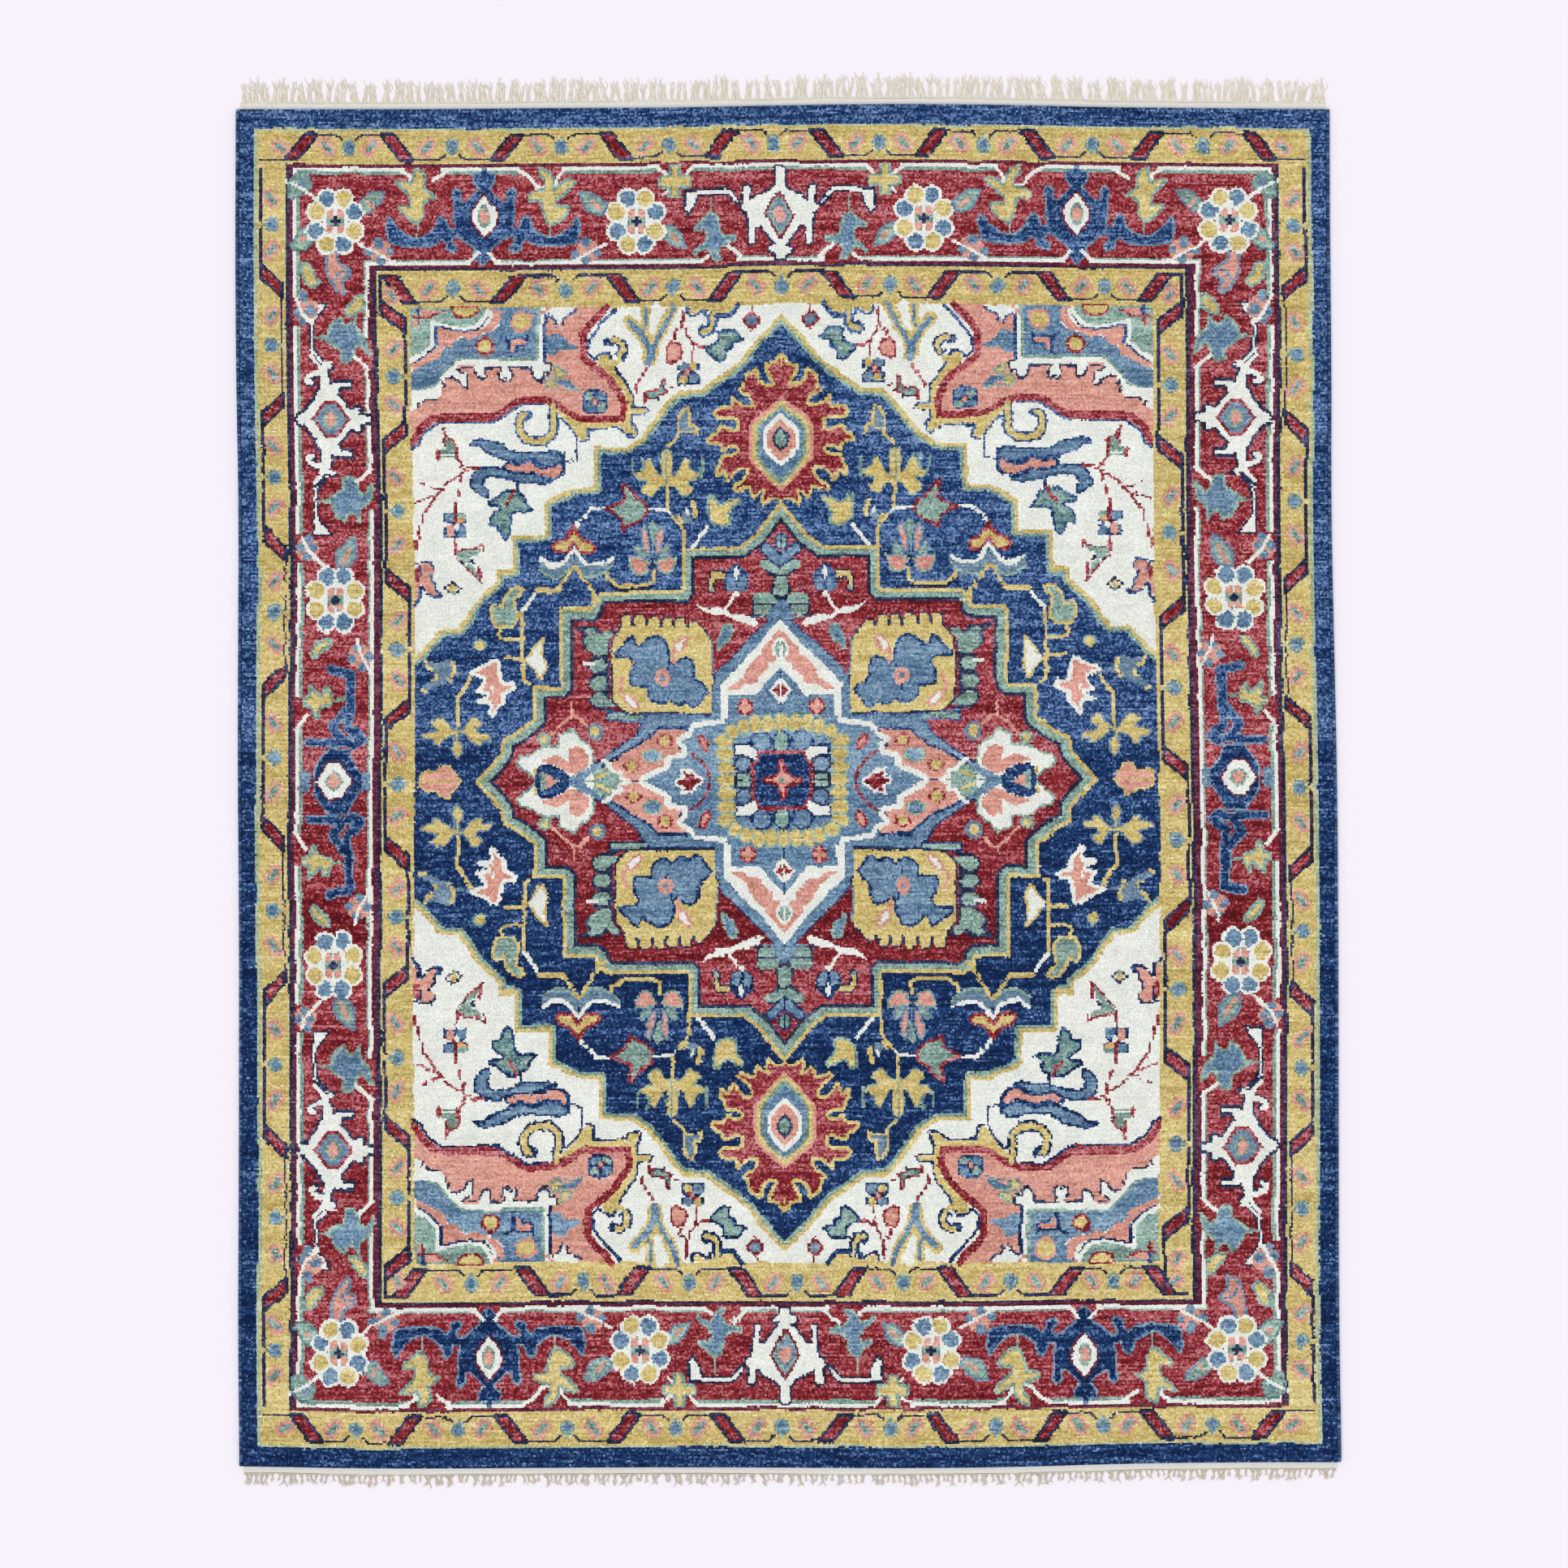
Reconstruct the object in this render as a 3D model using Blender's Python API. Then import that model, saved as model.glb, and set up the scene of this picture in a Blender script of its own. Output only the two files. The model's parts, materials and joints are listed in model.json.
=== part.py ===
"""Hand-knotted wool area rug: cotton foundation, pile by pattern area, selvedges, kilim ends and fringes.

Metres, +Z up. The origin is on the floor under the middle of the knotted area. +Y runs along the warps to the
end with the long fringe (far), -Y to the end with the short one (near), and +X to the right-hand selvedge.
"""

import math

import bmesh
import bpy
from mathutils import Vector

# Driving dimensions
KNOT_PITCH = 0.004            # one knot, across and along
KNOT_COLUMNS = 605            # knots in a row, selvedge to selvedge
KNOT_ROWS = 755               # rows of knots, kilim to kilim
FOUNDATION_THICKNESS = 0.003
PILE_HEIGHT = 0.0077          # wool above the foundation
GAP = 0.0003                  # between pieces that touch

# Pattern bands, from the edge inwards: width along the selvedges, width along the ends
OUTER_BAND = (0.032, 0.042)
OUTER_GUARD = (0.080, 0.090)
MAIN_BORDER = (0.196, 0.228)
INNER_GUARD = (0.074, 0.086)

# The weaver's chart of the field. It covers a quarter, in knots from the middle: across, then along.
CHART_FIELD = (207, 266)
MEDALLION_CHART = (
    (207, 71), (183, 84), (168, 101), (158, 118), (150, 120), (150, 138), (132, 139), (132, 156),
    (118, 164), (104, 165), (104, 188), (78, 190), (62, 214), (45, 219), (20, 237), (0, 258),
)
INNER_CHART = (
    (172, 0), (141, 34), (141, 54), (125, 54), (125, 98), (107, 98), (98, 106), (54, 106), (54, 131),
    (24, 131), (0, 156),
)
CENTRE_CHART = ((115, 0), (76, 37), (39, 38), (39, 60), (0, 97))

# Edges
SELVEDGE_WRAP_DIAMETER = 0.0097
SELVEDGE_CORE_DIAMETER = 0.0052
SELVEDGE_SIDES = 16
KILIM_WIDTH = 0.014
KILIM_THICKNESS = 0.0025
TASSEL_PITCH = 0.020
TASSEL_WIDTH = 0.012
TASSEL_THICKNESS = 0.0022
FRINGE_HEADER = 0.003         # the row of warp knots that the tassels leave from
FAR_FRINGE_LENGTH = 0.060
NEAR_FRINGE_LENGTH = 0.026

# Worked out from those
PILE_WIDTH = KNOT_COLUMNS * KNOT_PITCH
PILE_LENGTH = KNOT_ROWS * KNOT_PITCH
PILE_BOTTOM = FOUNDATION_THICKNESS + GAP
FIELD_HALF_WIDTH = PILE_WIDTH / 2 - OUTER_BAND[0] - OUTER_GUARD[0] - MAIN_BORDER[0] - INNER_GUARD[0]
FIELD_HALF_LENGTH = PILE_LENGTH / 2 - OUTER_BAND[1] - OUTER_GUARD[1] - MAIN_BORDER[1] - INNER_GUARD[1]

NAVY_WOOL = (0.022, 0.066, 0.190)
GOLD_WOOL = (0.610, 0.452, 0.150)
RED_WOOL = (0.330, 0.024, 0.036)
IVORY_WOOL = (0.830, 0.790, 0.720)
BLUE_WOOL = (0.105, 0.200, 0.390)
COTTON = (0.800, 0.760, 0.660)


def clear_scene():
    for old in list(bpy.data.objects):
        bpy.data.objects.remove(old, do_unlink=True)


def material(name, colour, roughness):
    """A plain matte yarn."""
    made = bpy.data.materials.new(name)
    made.use_nodes = True
    shader = made.node_tree.nodes["Principled BSDF"]
    shader.inputs["Base Color"].default_value = (*colour, 1.0)
    shader.inputs["Roughness"].default_value = roughness
    shader.inputs["Metallic"].default_value = 0.0
    return made


def add_object(name, mesh, yarn, parent):
    made = bpy.data.objects.new(name, mesh)
    bpy.context.scene.collection.objects.link(made)
    made.parent = parent
    if yarn is not None:
        mesh.materials.append(yarn)
    return made


def prism_mesh(name, outline, bottom, top):
    """An outline of (x, y) points, anticlockwise, extruded from bottom to top."""
    shape = bmesh.new()
    corners = [shape.verts.new((x, y, bottom)) for x, y in outline]
    base = shape.faces.new(corners)
    raised = bmesh.ops.extrude_face_region(shape, geom=[base])["geom"]
    lifted = [item for item in raised if isinstance(item, bmesh.types.BMVert)]
    bmesh.ops.translate(shape, verts=lifted, vec=(0.0, 0.0, top - bottom))
    bmesh.ops.recalc_face_normals(shape, faces=shape.faces)
    mesh = bpy.data.meshes.new(name)
    shape.to_mesh(mesh)
    shape.free()
    return mesh


def rectangle(low_x, low_y, high_x, high_y):
    return [(low_x, low_y), (high_x, low_y), (high_x, high_y), (low_x, high_y)]


def add_slab(name, outline, bottom, top, yarn, parent):
    return add_object(name, prism_mesh(name, outline, bottom, top), yarn, parent)


def add_cutter(name, outline, parent):
    """A hidden prism that reaches past both faces of the pile."""
    margin = PILE_HEIGHT
    mesh = prism_mesh(name, outline, PILE_BOTTOM - margin, PILE_BOTTOM + PILE_HEIGHT + margin)
    cutter = add_object(name, mesh, None, parent)
    cutter.hide_render = True
    cutter.display_type = "WIRE"
    return cutter


def cut(target, cutter):
    boolean = target.modifiers.new("cut_" + cutter.name, "BOOLEAN")
    boolean.operation = "DIFFERENCE"
    boolean.solver = "EXACT"
    boolean.object = cutter


def add_pile(name, outline, yarn, parent):
    return add_slab(name, outline, PILE_BOTTOM, PILE_BOTTOM + PILE_HEIGHT, yarn, parent)


def charted_outline(chart):
    """A quarter of a medallion, stretched to the field's size and mirrored both ways, anticlockwise."""
    across = (FIELD_HALF_WIDTH - GAP / 2) / CHART_FIELD[0]
    along = (FIELD_HALF_LENGTH - GAP / 2) / CHART_FIELD[1]
    far_right = [(x * across, y * along) for x, y in chart]
    far_left = [(-x, y) for x, y in reversed(far_right) if x > 0]
    far = far_right + far_left
    near = [(x, -y) for x, y in reversed(far) if y > 0]
    return far + near


def grown(outline, distance):
    """The outline with every side moved outwards."""
    moved = []
    for k, corner in enumerate(outline):
        here = Vector(corner)
        into = (here - Vector(outline[k - 1])).normalized()
        out_of = (Vector(outline[(k + 1) % len(outline)]) - here).normalized()
        mitre = Vector((into.y + out_of.y, -into.x - out_of.x))
        moved.append(tuple(here + mitre * (2 * distance / mitre.length_squared)))
    return moved


def add_band(name, outer_half_width, outer_half_length, widths, yarn, parent):
    """Four strips round the rug. The end strips run the full width, and the side strips fit between them."""
    side, end = widths
    right, left = outer_half_width - GAP / 2, outer_half_width - side + GAP / 2
    top, bottom = outer_half_length - GAP / 2, outer_half_length - end + GAP / 2
    inner_top = bottom - GAP
    add_pile(name + "_far", rectangle(-right, bottom, right, top), yarn, parent)
    add_pile(name + "_near", rectangle(-right, -top, right, -bottom), yarn, parent)
    add_pile(name + "_right", rectangle(left, -inner_top, right, inner_top), yarn, parent)
    add_pile(name + "_left", rectangle(-right, -inner_top, -left, inner_top), yarn, parent)
    return outer_half_width - side, outer_half_length - end


def add_field(yarns, parent):
    """The ivory corners of the field and the three medallions, one inside the next."""
    half_width, half_length = FIELD_HALF_WIDTH - GAP / 2, FIELD_HALF_LENGTH - GAP / 2
    medallion = charted_outline(MEDALLION_CHART)
    inner = charted_outline(INNER_CHART)
    centre = charted_outline(CENTRE_CHART)
    medallion_cutter = add_cutter("medallion_cutter", grown(medallion, GAP), parent)
    inner_cutter = add_cutter("inner_cutter", grown(inner, GAP), parent)
    centre_cutter = add_cutter("centre_cutter", grown(centre, GAP), parent)

    for along, end in ((1, "far"), (-1, "near")):
        for across, side in ((1, "right"), (-1, "left")):
            xs = sorted((across * GAP / 2, across * half_width))
            ys = sorted((along * GAP / 2, along * half_length))
            corner = rectangle(xs[0], ys[0], xs[1], ys[1])
            cut(add_pile(f"pile_corner_{end}_{side}", corner, yarns["ivory"], parent), medallion_cutter)

    cut(add_pile("pile_medallion", medallion, yarns["navy"], parent), inner_cutter)
    cut(add_pile("pile_inner_medallion", inner, yarns["red"], parent), centre_cutter)
    add_pile("pile_centre_medallion", centre, yarns["blue"], parent)


def ring_of(shape, radius, y, centre_x, centre_z):
    """A ring of vertices in an XZ plane. The half-step puts a flat side on the floor."""
    turns = [(k + 0.5) * 2 * math.pi / SELVEDGE_SIDES for k in range(SELVEDGE_SIDES)]
    return [
        shape.verts.new((centre_x + radius * math.cos(a), y, centre_z + radius * math.sin(a)))
        for a in turns
    ]


def join_rings(shape, first, second):
    for k in range(len(first)):
        after = (k + 1) % len(first)
        shape.faces.new((first[k], first[after], second[after], second[k]))


def add_selvedge(side, across, yarns, parent):
    """Cotton edge cords, and the wool wound over them, along the whole knotted length."""
    half_length = PILE_LENGTH / 2
    centre_x = across * (PILE_WIDTH / 2 + GAP + SELVEDGE_WRAP_DIAMETER / 2)
    flat_to_corner = math.cos(math.pi / SELVEDGE_SIDES)
    outside = SELVEDGE_WRAP_DIAMETER / 2
    centre_z = outside * flat_to_corner
    core = SELVEDGE_CORE_DIAMETER / 2
    inside = core + GAP / flat_to_corner

    tube = bmesh.new()
    outer = [ring_of(tube, outside, y, centre_x, centre_z) for y in (-half_length, half_length)]
    inner = [ring_of(tube, inside, y, centre_x, centre_z) for y in (-half_length, half_length)]
    join_rings(tube, outer[0], outer[1])
    join_rings(tube, inner[1], inner[0])
    join_rings(tube, outer[1], inner[1])
    join_rings(tube, inner[0], outer[0])
    finish_round(tube, "selvedge_wrap_" + side, yarns["navy"], parent)

    cord = bmesh.new()
    ends = [ring_of(cord, core, y, centre_x, centre_z) for y in (-half_length, half_length)]
    join_rings(cord, ends[0], ends[1])
    cord.faces.new(ends[0])
    cord.faces.new(ends[1])
    finish_round(cord, "selvedge_core_" + side, yarns["cotton"], parent)


def finish_round(shape, name, yarn, parent):
    bmesh.ops.recalc_face_normals(shape, faces=shape.faces)
    mesh = bpy.data.meshes.new(name)
    shape.to_mesh(mesh)
    shape.free()
    mesh.shade_smooth()
    mesh.set_sharp_from_angle(angle=math.radians(40))
    return add_object(name, mesh, yarn, parent)


def fringe_outline(length, base_y, outward):
    """A comb: the row of warp knots, and a tapering tassel at every pitch."""
    half_width = PILE_WIDTH / 2
    count = int((PILE_WIDTH - TASSEL_WIDTH) / TASSEL_PITCH) + 1
    first = -(count - 1) * TASSEL_PITCH / 2
    header_y = base_y + outward * FRINGE_HEADER
    tip_y = base_y + outward * length
    taper = TASSEL_WIDTH / 4
    points = [(-half_width, base_y), (-half_width, header_y)]
    for k in range(count):
        x = first + k * TASSEL_PITCH
        points.append((x - TASSEL_WIDTH / 2, header_y))
        points.append((x - TASSEL_WIDTH / 2 + taper, tip_y))
        points.append((x + TASSEL_WIDTH / 2 - taper, tip_y))
        points.append((x + TASSEL_WIDTH / 2, header_y))
    points += [(half_width, header_y), (half_width, base_y)]
    return points if outward < 0 else points[::-1]


def add_end(end, outward, fringe_length, yarn, parent):
    """The plain-woven kilim strip past the last row of knots, and the fringe of warp ends past that."""
    start = outward * (PILE_LENGTH / 2 + GAP)
    finish = start + outward * KILIM_WIDTH
    half_width = PILE_WIDTH / 2
    low, high = sorted((start, finish))
    add_slab("kilim_" + end, rectangle(-half_width, low, half_width, high), 0.0, KILIM_THICKNESS, yarn, parent)
    outline = fringe_outline(fringe_length, finish + outward * GAP, outward)
    add_slab("fringe_" + end, outline, 0.0, TASSEL_THICKNESS, yarn, parent)


def build_rug():
    clear_scene()
    rug = bpy.data.objects.new("rug", None)
    bpy.context.scene.collection.objects.link(rug)
    yarns = {
        "navy": material("navy_wool", NAVY_WOOL, 0.9),
        "gold": material("gold_wool", GOLD_WOOL, 0.9),
        "red": material("red_wool", RED_WOOL, 0.9),
        "ivory": material("ivory_wool", IVORY_WOOL, 0.9),
        "blue": material("blue_wool", BLUE_WOOL, 0.9),
        "cotton": material("cotton", COTTON, 0.85),
    }

    half_width, half_length = PILE_WIDTH / 2, PILE_LENGTH / 2
    ground = rectangle(-half_width, -half_length, half_width, half_length)
    add_slab("foundation", ground, 0.0, FOUNDATION_THICKNESS, yarns["cotton"], rug)

    extent = add_band("pile_outer_band", half_width, half_length, OUTER_BAND, yarns["navy"], rug)
    extent = add_band("pile_outer_guard", *extent, OUTER_GUARD, yarns["gold"], rug)
    extent = add_band("pile_main_border", *extent, MAIN_BORDER, yarns["red"], rug)
    add_band("pile_inner_guard", *extent, INNER_GUARD, yarns["gold"], rug)
    add_field(yarns, rug)

    add_selvedge("right", 1, yarns, rug)
    add_selvedge("left", -1, yarns, rug)
    add_end("far", 1, FAR_FRINGE_LENGTH, yarns["cotton"], rug)
    add_end("near", -1, NEAR_FRINGE_LENGTH, yarns["cotton"], rug)


build_rug()
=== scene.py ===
"""A knotted wool rug with a stepped medallion.

Its knots are laid out from a weaver's chart on a cotton foundation, with overcast sides, woven ends and fringes.
Lengths are in metres, and the far end is towards +Y.
"""

import json
import math

import bpy
import numpy as np
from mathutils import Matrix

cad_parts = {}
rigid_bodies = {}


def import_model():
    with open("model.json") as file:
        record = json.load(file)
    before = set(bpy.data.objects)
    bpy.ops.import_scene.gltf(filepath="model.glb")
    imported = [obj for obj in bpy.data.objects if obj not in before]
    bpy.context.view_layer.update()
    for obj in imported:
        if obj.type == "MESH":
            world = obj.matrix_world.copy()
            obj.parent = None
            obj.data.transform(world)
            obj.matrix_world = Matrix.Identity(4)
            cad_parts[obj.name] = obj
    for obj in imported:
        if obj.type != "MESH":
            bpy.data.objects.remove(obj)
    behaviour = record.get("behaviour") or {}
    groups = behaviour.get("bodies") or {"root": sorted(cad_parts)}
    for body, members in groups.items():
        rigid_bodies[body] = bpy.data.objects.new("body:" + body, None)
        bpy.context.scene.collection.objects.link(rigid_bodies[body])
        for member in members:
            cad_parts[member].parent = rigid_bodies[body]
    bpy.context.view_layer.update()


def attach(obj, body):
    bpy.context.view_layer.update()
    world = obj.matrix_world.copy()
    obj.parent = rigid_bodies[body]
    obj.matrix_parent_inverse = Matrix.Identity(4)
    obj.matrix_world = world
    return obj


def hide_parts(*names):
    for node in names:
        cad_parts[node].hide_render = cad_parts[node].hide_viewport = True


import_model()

KNOT = 0.004  # side of the square that one knot fills
COLUMNS, ROWS = 605, 755
HALF_COLUMNS, HALF_ROWS = COLUMNS // 2, ROWS // 2
FOUNDATION = 0.0030  # thickness of the cotton under the pile
PILE_FOOT, PILE_TOP = 0.0033, 0.0110
WRAP_RADIUS = 0.0049
WRAP_CENTRE = 0.0050  # height of the middle of the edge cord over the floor
KILIM_WIDTH, KILIM_LOW, KILIM_HIGH = 0.0140, 0.0004, 0.0028
rng = np.random.default_rng(1924)

YARNS = ("navy", "blue", "pale", "sage", "ivory", "gold", "red", "pink", "dark", "moss", "orange", "green",
        "maroon")
# Each yarn in three tones: darker, middle and lighter. Streaks of dyeing move a knot towards the darker or
# lighter tone, and so does painted light: painted shade where a knot lies in shade, painted highlight where its
# fibre tips catch the light.
YARN_TONES_FOR_DYE_AND_LIGHT = {
    "navy": ("#0A1F47", "#264778", "#7491BF"), "blue": ("#3C5877", "#6988A5", "#A0BACE"),
    "pale": ("#4C657F", "#7089A0", "#9DB5C5"), "sage": ("#566C66", "#88A59B", "#B8D4C9"),
    "ivory": ("#DFE1DA", "#E9EBE5", "#F0F2ED"), "gold": ("#AA9354", "#D0BA76", "#EBDDA6"),
    "red": ("#5A1119", "#99323A", "#CB858B"), "pink": ("#B07567", "#D89B8D", "#F1BBAD"),
    "dark": ("#10182F", "#242D4B", "#5E6488"), "moss": ("#335560", "#6C8D8C", "#9DBABA"),
    "orange": ("#B87F48", "#DDA463", "#EEC591"), "green": ("#7C9078", "#A9B99B", "#CBD8C0"),
    "maroon": ("#3C1022", "#652539", "#99566A"),
}
# How far each yarn runs light and dark, from its streaks of dyeing and the painted light on each knot, as a
# share of the whole way between those tones.
DYE_AND_LIGHT_SPREAD = {"navy": 1.0, "red": 0.95, "ivory": 0.8, "gold": 0.8}
COTTON = "#E9E1D2"


def linear(code):
    """Scene-linear red, green and blue of an sRGB hex code."""
    parts = [int(code[i:i + 2], 16) / 255 for i in (1, 3, 5)]
    return tuple(c / 12.92 if c <= 0.04045 else ((c + 0.055) / 1.055) ** 2.4 for c in parts)


# ---- The weaver's chart, in knots from the middle of the rug: to the left, then towards the far end. ----

QUARTER_COLUMNS, QUARTER_ROWS = HALF_COLUMNS + 1, HALF_ROWS + 1


def read(text):
    """Points from a chart reading such as "12,30 15,28"."""
    return np.array([[float(part) for part in pair.split(",")] for pair in text.split()])


def distance(points, across, along):
    """Distance from every knot to an open path."""
    best = np.full(across.shape, np.inf)
    for (x0, y0), (x1, y1) in zip(points[:-1], points[1:]):
        dx, dy = x1 - x0, y1 - y0
        t = np.clip(((across - x0) * dx + (along - y0) * dy) / max(dx * dx + dy * dy, 1e-9), 0, 1)
        best = np.minimum(best, np.hypot(across - x0 - t * dx, along - y0 - t * dy))
    return best


def within(points, across, along):
    """Which knots lie inside a closed outline."""
    inside = np.zeros(across.shape, bool)
    for (x0, y0), (x1, y1) in zip(points, np.roll(points, -1, axis=0)):
        if y0 != y1:
            crosses = (along < y0) != (along < y1)
            inside ^= crosses & (across < x0 + (along - y0) * (x1 - x0) / (y1 - y0))
    return inside


class Chart:
    """A yarn for every knot of the block whose first knot is at (left, near)."""

    def __init__(self, knots, left=0, near=0):
        self.knots, self.left, self.near = knots, left, near

    def window(self, points, margin):
        rows, columns = self.knots.shape
        low = np.maximum(np.floor(points.min(axis=0) - margin), (self.left, self.near)).astype(int)
        high = np.ceil(points.max(axis=0) + margin) + 1
        high = np.maximum(np.minimum(high, (self.left + columns, self.near + rows)).astype(int), low)
        across, along = np.meshgrid(np.arange(low[0], high[0]), np.arange(low[1], high[1]))
        where = slice(low[1] - self.near, high[1] - self.near), slice(low[0] - self.left,
                high[0] - self.left)
        return where, across.astype(float), along.astype(float)

    def area(self, yarn, outline, edge=None, width=1.3):
        points = read(outline) if isinstance(outline, str) else np.asarray(outline, float)
        where, across, along = self.window(points, 0)
        self.knots[where][within(points, across, along)] = YARNS.index(yarn)
        if edge:
            self.line(edge, width, np.vstack([points, points[:1]]))

    def line(self, yarn, width, path):
        points = read(path) if isinstance(path, str) else np.asarray(path, float)
        where, across, along = self.window(points, width)
        self.knots[where][distance(points, across, along) <= width / 2] = YARNS.index(yarn)

    def bands(self, outline, stripes):
        """Stripes of (yarn, width), each inside the last, along an outline between the two middle lines."""
        points = read(outline)
        closed = np.vstack([points, [[0, 0], [points[0][0], 0]]])
        where, across, along = self.window(closed, 0)
        inside = within(closed, across, along)
        deep = distance(points, across, along)
        reached = 0.0
        for yarn, width in stripes:
            self.knots[where][inside & (deep >= reached)] = YARNS.index(yarn)
            reached += width

    def disc(self, yarn, u, v, across_radius, along_radius=None, edge=None, width=1.3):
        turns = np.linspace(0, 2 * np.pi, 24, endpoint=False)
        along_radius = across_radius if along_radius is None else along_radius
        ring = np.stack([u + across_radius * np.cos(turns), v + along_radius * np.sin(turns)], axis=1)
        self.area(yarn, ring, edge, width)


# The outlines of the three medallions, from the middle line across to the middle line along.
MEDALLION_EDGE = (
    "207,70 203,73 199,78 196,80.5 195,83.5 190,85.5 182,85.5 181,88.5 178,91 176,95 173,99.5 168,105 "
    "163,109 160,112 "
    "160,118 150.5,118.5 150.5,138.5 131.5,138.5 131.5,156 124,160.5 115,164.5 103.5,164.5 103.5,188 "
    "85,188 77,193 "
    "70,202 62,213 57,218 44,219 36,225 28,230 20,238 12,248 6,254 0,260"
)
INNER_EDGE = (
    "173,0 169,5 163,11 159,16 157.5,24 150,28 140.5,35 140.5,54 124.5,54 124.5,97.5 106,97.5 106,102 "
    "99,107 55,107 "
    "55,131 23,131 15,137 8,146 0,156"
)
CENTRE_EDGE = "123,0 113,6 104,10.5 96,16 84,25 76,36.5 39,37.5 39,58 36,60 24,72 12,84 5,91 0,97"


def draw_medallions(chart):
    """The navy medallion, the red one in it, and the blue centre, each inside its stripes."""
    chart.area("ivory", "0,0 207,0 207,266 0,266")
    chart.bands(MEDALLION_EDGE, (("gold", 2.5), ("sage", 2.0), ("navy", 1)))
    chart.bands(INNER_EDGE, (("gold", 2.2), ("sage", 3.8), ("dark", 1.8), ("red", 1)))


def draw_centre(chart):
    """The light blue centre medallion with its ivory outline, gold ring, petals and navy heart."""
    chart.area("blue", CENTRE_EDGE + " 0,0", "navy", 1)
    # pink diamonds on the axes, inside ivory
    chart.area("ivory", "33.5,34 33.5,54.5 26,61 17,71 11,77 5,85 0,91 0,63 5,58 10,52 14,47.5 29.5,47.5 "
        "29.5,36")
    chart.area("pink", "30,51 24,55 21,57 19.5,61 14,68 11,70 10,74 5,79 2,83 0,85 0,72 5,71 2,66.5 7,65 "
        "7,62 12,58 13,55 17,53 20,54 23,50")
    chart.area("sage", "0,68 3,69 4,74 2,78 0,79", "ivory", 1)
    chart.area("pink", "54,29.5 70,29.5 75,25 80,20.5 90,15.5 100,9.5 102,8 94,0 68,0 66,5 65,13 54,14 "
        "58,20 58.5,24 53,26", "navy", 1.6)
    crown = "33,33 50,30.5 52,26.5 58.5,23.5 55,19 55,15.5 64.5,13.5 64.5,8.5 71,5 79,0.8 "
    chart.area("blue", crown + "79,-1 33,-1")
    chart.line("ivory", 3.0, crown)
    chart.area("sage", "113,-1 113,4 107,8 98,9.5 95.5,6 91,5 91.5,2 87,0 87,-1")
    chart.line("ivory", 2.4, "101,11.5 98,9.5 95.5,6 91,5 91.5,2 87,0")
    chart.line("gold", 1.8, "110,0 98,5")
    for u, v in ((66, 22.5), (84.5, 8.5)):
        chart.disc("red", u, v, 4.6, 4.2)
        chart.area("pink", [(u - 3.6, v - 3.6), (u - 1.8, v - 3.6), (u + 3.6, v + 1.8), (u + 3.6, v + 3.6)])
        chart.area("pink", [(u + 1.8, v - 4), (u + 4, v - 4), (u - 1.8, v + 4), (u - 4, v + 4)])
        chart.disc("gold", u, v, 2.8, 2.6)
    chart.disc("blue", 73, 14.5, 4.8, 3.4, "sage", 1.4)
    # red diamonds on the axes, inside ivory
    chart.area("red", "0,44 5.5,50 0,56", "ivory", 1.8)
    chart.area("blue", "62,0 62,3 57,9 50,9 45,6 44,0")
    chart.area("red", "60,-1 60,1 55.5,3 57,6.5 51.5,5.5 48,2.5 45,1 45,-1", "ivory", 1.6)
    chart.line("red", 1.4, "51.5,16 46,11.5 42,6.5 41,0")
    chart.area("pink", "46.5,25 44,25 41,21 41,17.5 42.5,17 46,20.5", "red", 1.7)
    chart.disc("red", 20, 41, 4.8, 4.8)
    chart.line("pink", 2, "20,37.5 20,44.5")
    chart.line("pink", 2, "16.5,41 23.5,41")
    # the gold ring
    for v in (0, 7.4, 14.8, 22):
        chart.disc("gold", 31.6, v, 5.2, 4.0, "sage", 0.9)
    for u in (0, 7.2, 14.4):
        chart.disc("gold", u, 32, 4.0, 5.2, "sage", 0.9)
    chart.disc("gold", 20.8, 30.2, 4.0, 4.6, "sage", 0.9)
    chart.disc("gold", 27.2, 27.2, 4.0, 4.0, "sage", 0.9)
    # petals and the heart
    chart.disc("blue", 11, 21.5, 5.6, 5.6, "navy", 1.4)
    chart.disc("sage", 0, 21, 4.6, 6.4, "navy", 1.4)
    chart.area("ivory", "26,20 18,20.5 15,18 12.6,15.5 12.6,12.5 15,10.3 18,12 21,13.5 26,13.5", "navy",
        1.1)
    chart.disc("blue", 21.5, 9, 4.8, 4, "dark", 1.4)
    chart.area("sage", "26.5,0 26.5,3.6 24,4.5 18,4.5 17,0", "dark", 1.2)
    chart.area("navy", "16,0 16,6 12.5,14.5 0,14.5 0,0")
    chart.line("red", 1.8, "0,15.6 12.5,15.4 13.5,12.5 16.4,8.5 16.9,0")
    chart.area("pink", "-1,10.5 0.6,10.5 1.8,5.2 3,3.4 4.8,2.2 10.5,0.6 10.5,-1 -1,-1", "red", 1.7)
    chart.disc("sage", 0, 0, 1.8, 1.8)


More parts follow.
